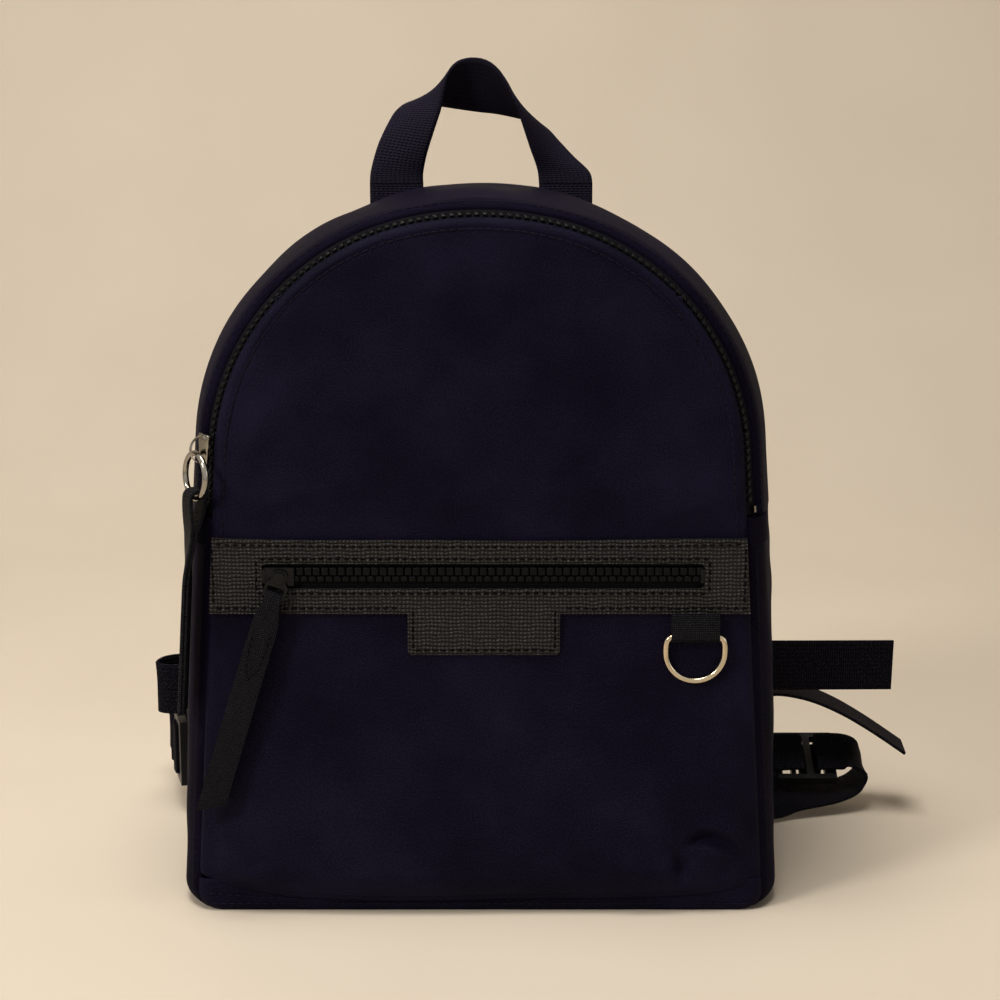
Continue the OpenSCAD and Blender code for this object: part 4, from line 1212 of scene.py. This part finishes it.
half_loop = [(3.6, 9), (3.9, 16), (3.6, 24), (2.6, 32)]
pull_loop = [(-off, down) for off, down in half_loop] + [(0, 37)] + half_loop[::-1]
stitch("pocket_pull_stitches",
       [[(pocket_pull(1.55, down) + sideways * off * mm, forwards) for off, down in pull_loop]],
       "pocket_puller", black_thread, 3.0 * mm, 1.7 * mm)


# ---- D ring -----------------------------------------------------------------
# Pale gold wire bent into a D and held below the band by a leather tab, which is folded
# round its straight side and sewn through with two stitches.

d_x, d_y, d_z = 93.5, -60.2, 127.5


def wire(name, route, radius, finish, body, stands_for, rows):
    """Round wire bent along a route, closed on itself."""
    ring = [Vector(p) * mm for p in route]
    middle = sum(ring, Vector()) / len(ring)
    flat = (ring[0] - middle).cross(ring[len(ring) // 4] - middle).normalized()

    def place(u, v):
        at = along_curve(ring, u)
        way = (along_curve(ring, min(1, u + 0.004)) - along_curve(ring, max(0, u - 0.004))).normalized()
        a = 2 * math.pi * v
        return at + (flat.cross(way) * math.cos(a) + flat * math.sin(a)) * radius, (u, v)

    bm = cut_cloth(rows, 14, place)
    bmesh.ops.remove_doubles(bm, verts=bm.verts, dist=0.02 * mm)
    bmesh.ops.recalc_face_normals(bm, faces=bm.faces)
    return add_piece(name, bm, finish, body, stands_for)


d_half = 12.8
bow_z = 120.5
d_top = [(0, 0), (5, 0), (9.4, -0.1), (11.8, -1.2), (12.7, -3.6)]
d_route = [(d_x + x, d_y, d_z + z) for x, z in d_top]
d_route += [(d_x + d_half * math.cos(a), d_y, bow_z + d_half * math.sin(a))
            for a in np.linspace(0, -math.pi, 17)]
d_route += [(d_x - x, d_y, d_z + z) for x, z in reversed(d_top)]
wire("d_ring_wire", d_route, 1.32 * mm, pale_gold, "d_ring", ("d_ring",), 120)
tab_route = [(-58.0, 138.0), (-58.0, 133.0), (-58.1, 129.0)]
tab_route += [(d_y + 2.0 * math.cos(a), d_z + 2.0 * math.sin(a)) for a in np.linspace(0.1, -math.pi - 0.1, 9)]
tab_route += [(-62.1, 130.0), (-61.4, 134.0), (-60.2, 137.6)]
strap("d_ring_leather_tab", [Vector((d_x, y, z)) * mm for y, z in tab_route], (1, 0, 0),
      21 * mm, 1.2 * mm, strip_leather, "bag", ("d_ring_tab",), steps=3)
stitch("d_tab_stitches", [[((x * mm, -61.95 * mm, 132.2 * mm), (0, -1, 0.2)) for x in (d_x - 8, d_x + 8)]],
       "bag", black_thread, 3.0 * mm, 1.7 * mm)


# ---- Handle -----------------------------------------------------------------
# A short strap of 25 mm navy webbing that twists as it rises. Its ends are sewn flat to the
# top of the back, each with a crossed square of stitches.

def webbing(name, dark, light, speck, speck_share):
    """Ribbed webbing with lighter threads."""
    cloth = Finish(name, "webbing", IOR=1.2, Specular_IOR_Level=0.06)
    rib = 1.15 * mm
    cord = 2.1 * mm
    where, along, across = cloth.lengths()
    weft = (along * (2 * math.pi / rib)).wave()
    warp = (across * (2 * math.pi / cord) + (along * (math.pi / rib)).wave() * 0.9).wave()
    weave = weft * 0.5 + warp * 0.5
    fleck = cloth.grain(where, 1300, 0.0)
    flecked = ((fleck - (1 - speck_share)) * 6).at_least(0).at_most(1)
    tone = weave * 0.35 + (cloth.grain(where, 30, 2.0) - 0.5) * 0.5 + 0.5
    ground = cloth.shade(tone.at_least(0).at_most(1), dark, light)
    cloth.feed(Base_Color=cloth.shade(flecked, ground, speck), Roughness=0.6 - weave * 0.08)
    cloth.raised(weave, 0.0003, 0.7)
    return cloth


navy_webbing = webbing(
    "navy_webbing", (0.0070, 0.0060, 0.0120), (0.0200, 0.0175, 0.0310), (0.024, 0.022, 0.034), 0.34)
grey_webbing = webbing(
    "speckled_webbing", (0.0026, 0.0024, 0.0048), (0.0080, 0.0076, 0.0125), (0.018, 0.0165, 0.019), 0.46)
web_w = 25 * mm
web_t = 1.4 * mm
back = back_y / mm

handle_foot_x = 39.5
front_edge = [
    (-27, 0.7, 313.3), (-27, 0.5, 318.5), (-25.2, -2.5, 327.5), (-21.8, -5.2, 338.5), (-18.8, -7, 347.8),
    (-16.8, -7.4, 357), (-14.8, -6.8, 364.4), (-10.7, -5.6, 369.2), (-4.6, -4.4, 371), (1.8, -4, 370.2),
    (6.9, -4.4, 366.8), (11.2, -5.2, 361), (14.6, -6, 354.6), (17.4, -6.2, 347.8), (20.2, -5.2, 339),
    (23.2, -2.6, 329.2), (26.2, 0.4, 320), (27, 0.7, 313.3)]
back_edge = [
    (-52, 0.7, 313.3), (-51.4, 1.4, 319.5), (-48.2, 3.6, 330.5), (-43.6, 6, 340.1), (-39.2, 8.4, 346.6),
    (-33.2, 10.4, 350.2), (-25.8, 11, 350), (-18.2, 10.8, 348.8), (-10.6, 10, 347.6), (-1.6, 9.2, 346.4),
    (7.4, 9.8, 345.4), (16.4, 11.2, 343.6), (24, 12, 341.8), (30.6, 11.2, 338), (37, 8.8, 331.4),
    (43.4, 5.4, 325), (50.6, 1.8, 318.6), (52, 0.7, 313.3)]
handle_rows = (len(front_edge) - 1) * 7
handle_len = 160 * mm


def handle_cloth(u, v):
    edges = [along_curve([(x, back + y, z) for x, y, z in edge], u) * mm for edge in (back_edge, front_edge)]
    return edges[0].lerp(edges[1], v), (u * handle_len, v * web_w)


bm = cut_cloth(handle_rows, 10, handle_cloth)
sew("carry_handle", bm, navy_webbing, "handle", ("handle_strap",), web_t, 0)
for side, label in ((-1, "left"), (1, "right")):
    route = [Vector((side * handle_foot_x, back + 0.8, z)) * mm for z in (295, 301, 307, 313.5)]
    strap("handle_end_" + label, route, (side, 0, 0), web_w, web_t, navy_webbing,
          "bag", ("handle_tabs",), columns=8)
box_rows = []
z0, z1 = 297.5, 310
for side in (-1, 1):
    x0, x1 = side * handle_foot_x - 10, side * handle_foot_x + 10
    box_rows += [
        [(x0, z0), (x1, z0)], [(x1, z0), (x1, z1)], [(x1, z1), (x0, z1)], [(x0, z1), (x0, z0)],
        [(x0, z0), (x1, z1)], [(x0, z1), (x1, z0)]]
stitch("handle_stitches", flat_rows(box_rows, back_y + 1.6 * mm, backwards), "bag",
       pitch=2.6 * mm, length=2.0 * mm)


# ---- Shoulder straps --------------------------------------------------------
# Two curved pads of foam covered in nylon, sewn under a nylon yoke on the back. Webbing
# runs on from each pad to a ladder lock, and lower webbing is laced through the lock.

low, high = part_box("strap_yoke")
low.y -= 0.5 * mm
bm = bmesh.new()
uv = bm.loops.layers.uv.new("cloth")
bmesh.ops.create_cube(bm, size=1)
bmesh.ops.scale(bm, vec=high - low, verts=bm.verts)
bmesh.ops.translate(bm, vec=(low + high) / 2, verts=bm.verts)
bmesh.ops.subdivide_edges(bm, edges=bm.edges, cuts=8, use_grid_fill=True)
bmesh.ops.bevel(bm, geom=[e for e in bm.edges if e.calc_face_angle(0) > 0.5], offset=0.5 * mm,
                affect="EDGES", segments=2, profile=0.5, material=-1)
for face in bm.faces:
    for loop in face.loops:
        loop[uv].uv = (loop.vert.co.x, loop.vert.co.z)
add_piece("back_yoke", bm, shaded_navy, "bag", ("strap_yoke",))
yoke_x = 69.5
yoke_rows = [[(-yoke_x, z), (yoke_x, z)] for z in (273.5, 288.5)]
yoke_rows += [[(x, 274), (x, 288)] for x in (-yoke_x, yoke_x)]
stitch("yoke_stitches", flat_rows(yoke_rows, high.y + 0.1 * mm, backwards), "bag")
for label, side in (("left", -1), ("right", 1)):
    eased("lower_anchor_" + label, "strap_anchor_" + label, shaded_navy, "bag", 0.4 * mm)
    anchor_row = [(side * x, z) for x, z in ((122, 5.5), (122, 30.5), (91.5, 23.5), (91.5, 12.5), (122, 5.5))]
    stitch("anchor_stitches_" + label, flat_rows([anchor_row], back_y + 1.75 * mm, backwards), "bag")

pad_y = 64.4
pad_z = 271.0
pad_route = [
    (-40, pad_y, pad_z - 0.3), (-41, pad_y + 13, pad_z - 22), (-45, pad_y + 28, pad_z - 52),
    (-54, pad_y + 36, pad_z - 88), (-66, pad_y + 36, pad_z - 124), (-84, pad_y + 33, pad_z - 158),
    (-104, pad_y + 32, pad_z - 184)]
pad_across = [
    (-1, 0, 0), (-1, 0, 0), (-1, 0, 0.1), (-1, 0, 0.2), (-0.95, 0, 0.3), (-0.85, 0, 0.5), (-0.8, 0, 0.6)]
pad_widths = [(56 - 26 * (i / 6) ** 2) * mm for i in range(7)]
pad_len = 220 * mm


def shoulder_pad(label, side):
    """A pad with two pressed lines along it and thin sewn ends."""
    route = [Vector((-side * x, y, z)) * mm for x, y, z in pad_route]
    across = [Vector((-side * x, y, z)) for x, y, z in pad_across]

    def place(u, v):
        middle = along_curve(route, u)
        way = (along_curve(route, min(1, u + 0.01)) - along_curve(route, max(0, u - 0.01))).normalized()
        out = along_curve(across, u)
        out = (out - way * out.dot(way)).normalized()
        face = way.cross(out)
        a = 2 * math.pi * v
        half_w = along_curve([(w, 0, 0) for w in pad_widths], u).x / 2 - 0.6 * mm
        half_t = (4.9 - 3.4 * max(0, 1 - u / 0.06) ** 2 - 3.2 * max(0, (u - 0.93) / 0.07) ** 2) * mm
        c, s = math.cos(a), math.sin(a)
        across_by = math.copysign(abs(c) ** 0.55, c)
        through_by = math.copysign(abs(s) ** 0.75, s)
        channel = 1 - 0.22 * math.exp(-((abs(across_by) - 0.72) / 0.05) ** 2)
        return middle + out * half_w * across_by + face * half_t * through_by * channel, (
            u * pad_len, a * half_w / 2)

    bm = cut_cloth(60, 40, place)
    bmesh.ops.remove_doubles(bm, verts=bm.verts, dist=0.02 * mm)
    bmesh.ops.holes_fill(bm, edges=[e for e in bm.edges if e.is_boundary], sides=0)
    bmesh.ops.recalc_face_normals(bm, faces=bm.faces)
    pad = add_piece("shoulder_pad_" + label, bm, navy, "shoulder_" + label,
                    ("pad_" + label, "pad_foam_" + label))


for label, side in (("left", -1), ("right", 1)):
    shoulder_pad(label, side)

acetal = Finish("black_moulded_plastic", "acetal", IOR=1.4, Specular_IOR_Level=0.3)
spot = acetal.spot()
texture = acetal.grain(spot, 2600, 1.0)
flow = acetal.grain(spot, 60, 2.0)
acetal.feed(
    Base_Color=acetal.shade(flow, (0.004, 0.004, 0.005), (0.010, 0.010, 0.011)),
    Roughness=0.32 + texture * 0.12)
acetal.raised(texture, 0.00012, 0.5)
for label in ("left", "right"):
    eased("ladder_lock_" + label, "strap_lock_" + label, acetal, "adjuster_" + label, 0.8 * mm, 3)

left_turn = math.radians(-75)
right_turn = math.radians(-65)


def from_left_lock(x, y):
    return (
        -152 + x * math.cos(left_turn) - y * math.sin(left_turn),
        back + 22 + x * math.sin(left_turn) + y * math.cos(left_turn), 31)


def from_right_lock(x, y):
    return (162.5 + x, back + 25 + y * math.cos(right_turn), 23 + y * math.sin(right_turn))


lock_bar_x = -15
sewn_l = 9
doubled_t = 2.4 * mm
right_side = (0, -math.sin(right_turn), math.cos(right_turn))
pad_end = Vector(pad_route[-1])
pad_way = (pad_end - Vector(pad_route[-2])).normalized()
pad_root = pad_end - pad_way * 4
pad_below = pad_end + pad_way * 8


def flipped(p):
    return (-p[0], p[1], p[2])


def in_metres(points):
    return [Vector(p) * mm for p in points]


left_web = [
    from_left_lock(lock_bar_x - sewn_l + 6, 0), from_left_lock(lock_bar_x - sewn_l, 0), (-161, back + 55, 33),
    (-157, back + 63, 39), (-146, back + 64, 48), (-130, back + 56, 60), pad_below, pad_root]
left_web_across = [(0, 0, 1), (0, 0, 1), (0, 0, 1), (-0.1, 0, 1), (-0.35, 0, 0.9), (-0.6, 0, 0.75),
                   pad_across[-1], pad_across[-1]]
strap("pad_web_left", in_metres(left_web), left_web_across, web_w, doubled_t, grey_webbing,
      "shoulder_left", ("pad_webbing_left",), columns=8)
right_web = [
    from_right_lock(lock_bar_x - sewn_l + 6, 0), from_right_lock(lock_bar_x - sewn_l - 1, 0),
    (122, back + 30, 28), (116, back + 35, 36), (110, back + 38, 50), flipped(pad_below), flipped(pad_root)]
right_web_across = [right_side, right_side, (0.3, 0.8, 0.5), (0.6, 0.6, 0.5), (0.75, 0.3, 0.5),
                    flipped(pad_across[-1]), flipped(pad_across[-1])]
strap("pad_web_right", in_metres(right_web), right_web_across, web_w, doubled_t, grey_webbing,
      "shoulder_right", ("pad_webbing_right",), columns=8)


def bar_loop(label, at, across):
    """Webbing sewn round the end bar of a lock."""
    turns = [(lock_bar_x - sewn_l + 1, 1.1), (lock_bar_x - 4, 1.9)]
    turns += [(lock_bar_x + 2.7 * math.cos(a), 2.7 * math.sin(a)) for a in np.linspace(2.3, -2.3, 9)]
    turns += [(lock_bar_x - 4, -1.9), (lock_bar_x - sewn_l + 1, -1.1)]
    strap("bar_loop_" + label, in_metres([at(x, y) for x, y in turns]), across, web_w, doubled_t / 2,
          grey_webbing, "shoulder_" + label, steps=3)


bar_loop("left", from_left_lock, (0, 0, 1))
bar_loop("right", from_right_lock, right_side)

# The lower webbing runs under the webbing sewn to the lock, up through one slot, over the
# middle bar and down through the next.
lock_half_t = 2
web_half_t = web_t / mm / 2
lace_gap = 0.3
weave_y = -(lock_half_t + 0.06 + 2 * web_half_t + lace_gap + web_half_t)
over_y = lock_half_t + lace_gap + web_half_t
weave_corners = [
    (-27, weave_y), (-3.5, weave_y), (-2.5, weave_y + 1), (-2.5, over_y - 1), (-1.5, over_y), (5.5, over_y),
    (6.5, over_y - 1), (6.5, weave_y + 1), (7.5, weave_y), (19, weave_y)]
anchor_t = 1.6
web_y = back + anchor_t + 0.1 + web_half_t

left_tail = [
    (203, back + 12, 76), (150, back + 8, 77), (60, back + 7.5, 77), (-60, back + 7.5, 72),
    (-130, back + 7, 66), (-150, back + 7, 65), (-157.5, back + 8, 65), (-160.5, back + 12, 65),
    (-158, back + 18, 66), (-151, back + 25, 65), (-141, back + 33, 61), (-135, back + 43, 52),
    (-138, back + 52, 41), (-146, back + 55, 34), (-152.5, back + 53, 31.5)]
left_load = [
    (-142.5, back + 2.5, 30), (-138.5, back + 1, 28.5), (-134, back + 1.5, 26), (-129, web_y + 1, 22.5),
    (-122, web_y + 0.2, 20), (-104, web_y, 18)]
left_strap_route = left_tail + [from_left_lock(x, -y) for x, y in weave_corners] + left_load
left_strap = strap(
    "lower_webbing_left", in_metres(left_strap_route), (0, 0, 1), web_w, web_t, grey_webbing,
    None, ("lower_strap_left",), columns=8)
web_y * mm
(back + 16) * mm
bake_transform(left_strap)

right_load = [
    (187.5, back + 22, 25), (191.5, back + 21, 18.5), (186.5, back + 20, 11.5), (174.5, back + 16, 8.5),
    (154.5, back + 10, 8.5), (146.5, back + 6.5, 8.5), (141.5, back + 3.5, 9), (137.5, back + 4.6, 13.5),
    (132.5, back + 7, 15.5), (126.5, web_y + 1.4, 16.4), (120.5, web_y + 0.4, 16.8), (104, web_y, 18)]
right_load_across = [
    (0, 0.95, 0.3), (0, 0.98, 0.12), (0, 0.99, 0.06), (0, 0.98, 0.1), (0, 0.95, 0.25), (0, 0.92, 0.36),
    (0, 0.9, 0.42), (0, 0.4, 0.92), (0, 0.1, 1), (0, 0, 1), (0, 0, 1), (0, 0, 1)]
right_tail = [
    (210.5, back + 15.5, 32), (192.5, back + 17.5, 44), (176.5, back + 19.5, 53), (160.5, back + 21.5, 59),
    (144.5, back + 22.5, 61), (134.5, back + 23, 57), (129.5, back + 23, 50), (129, back + 23, 41),
    (130.5, back + 23, 35)]
right_tail_across = [(0, 1, 0)] * 5 + [(0, 1, 0.1), (0, 0.98, 0.2), (0, 0.95, 0.3), (0, 0.92, 0.38)]
right_strap_route = right_tail + [from_right_lock(x, y) for x, y in weave_corners] + right_load
right_strap = strap(
    "lower_webbing_right", in_metres(right_strap_route),
    right_tail_across + [right_side] * len(weave_corners) + right_load_across, web_w, web_t, grey_webbing,
    None, ("lower_strap_right",), columns=8)
web_y * mm
(back + 16) * mm
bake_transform(right_strap)

low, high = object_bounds()
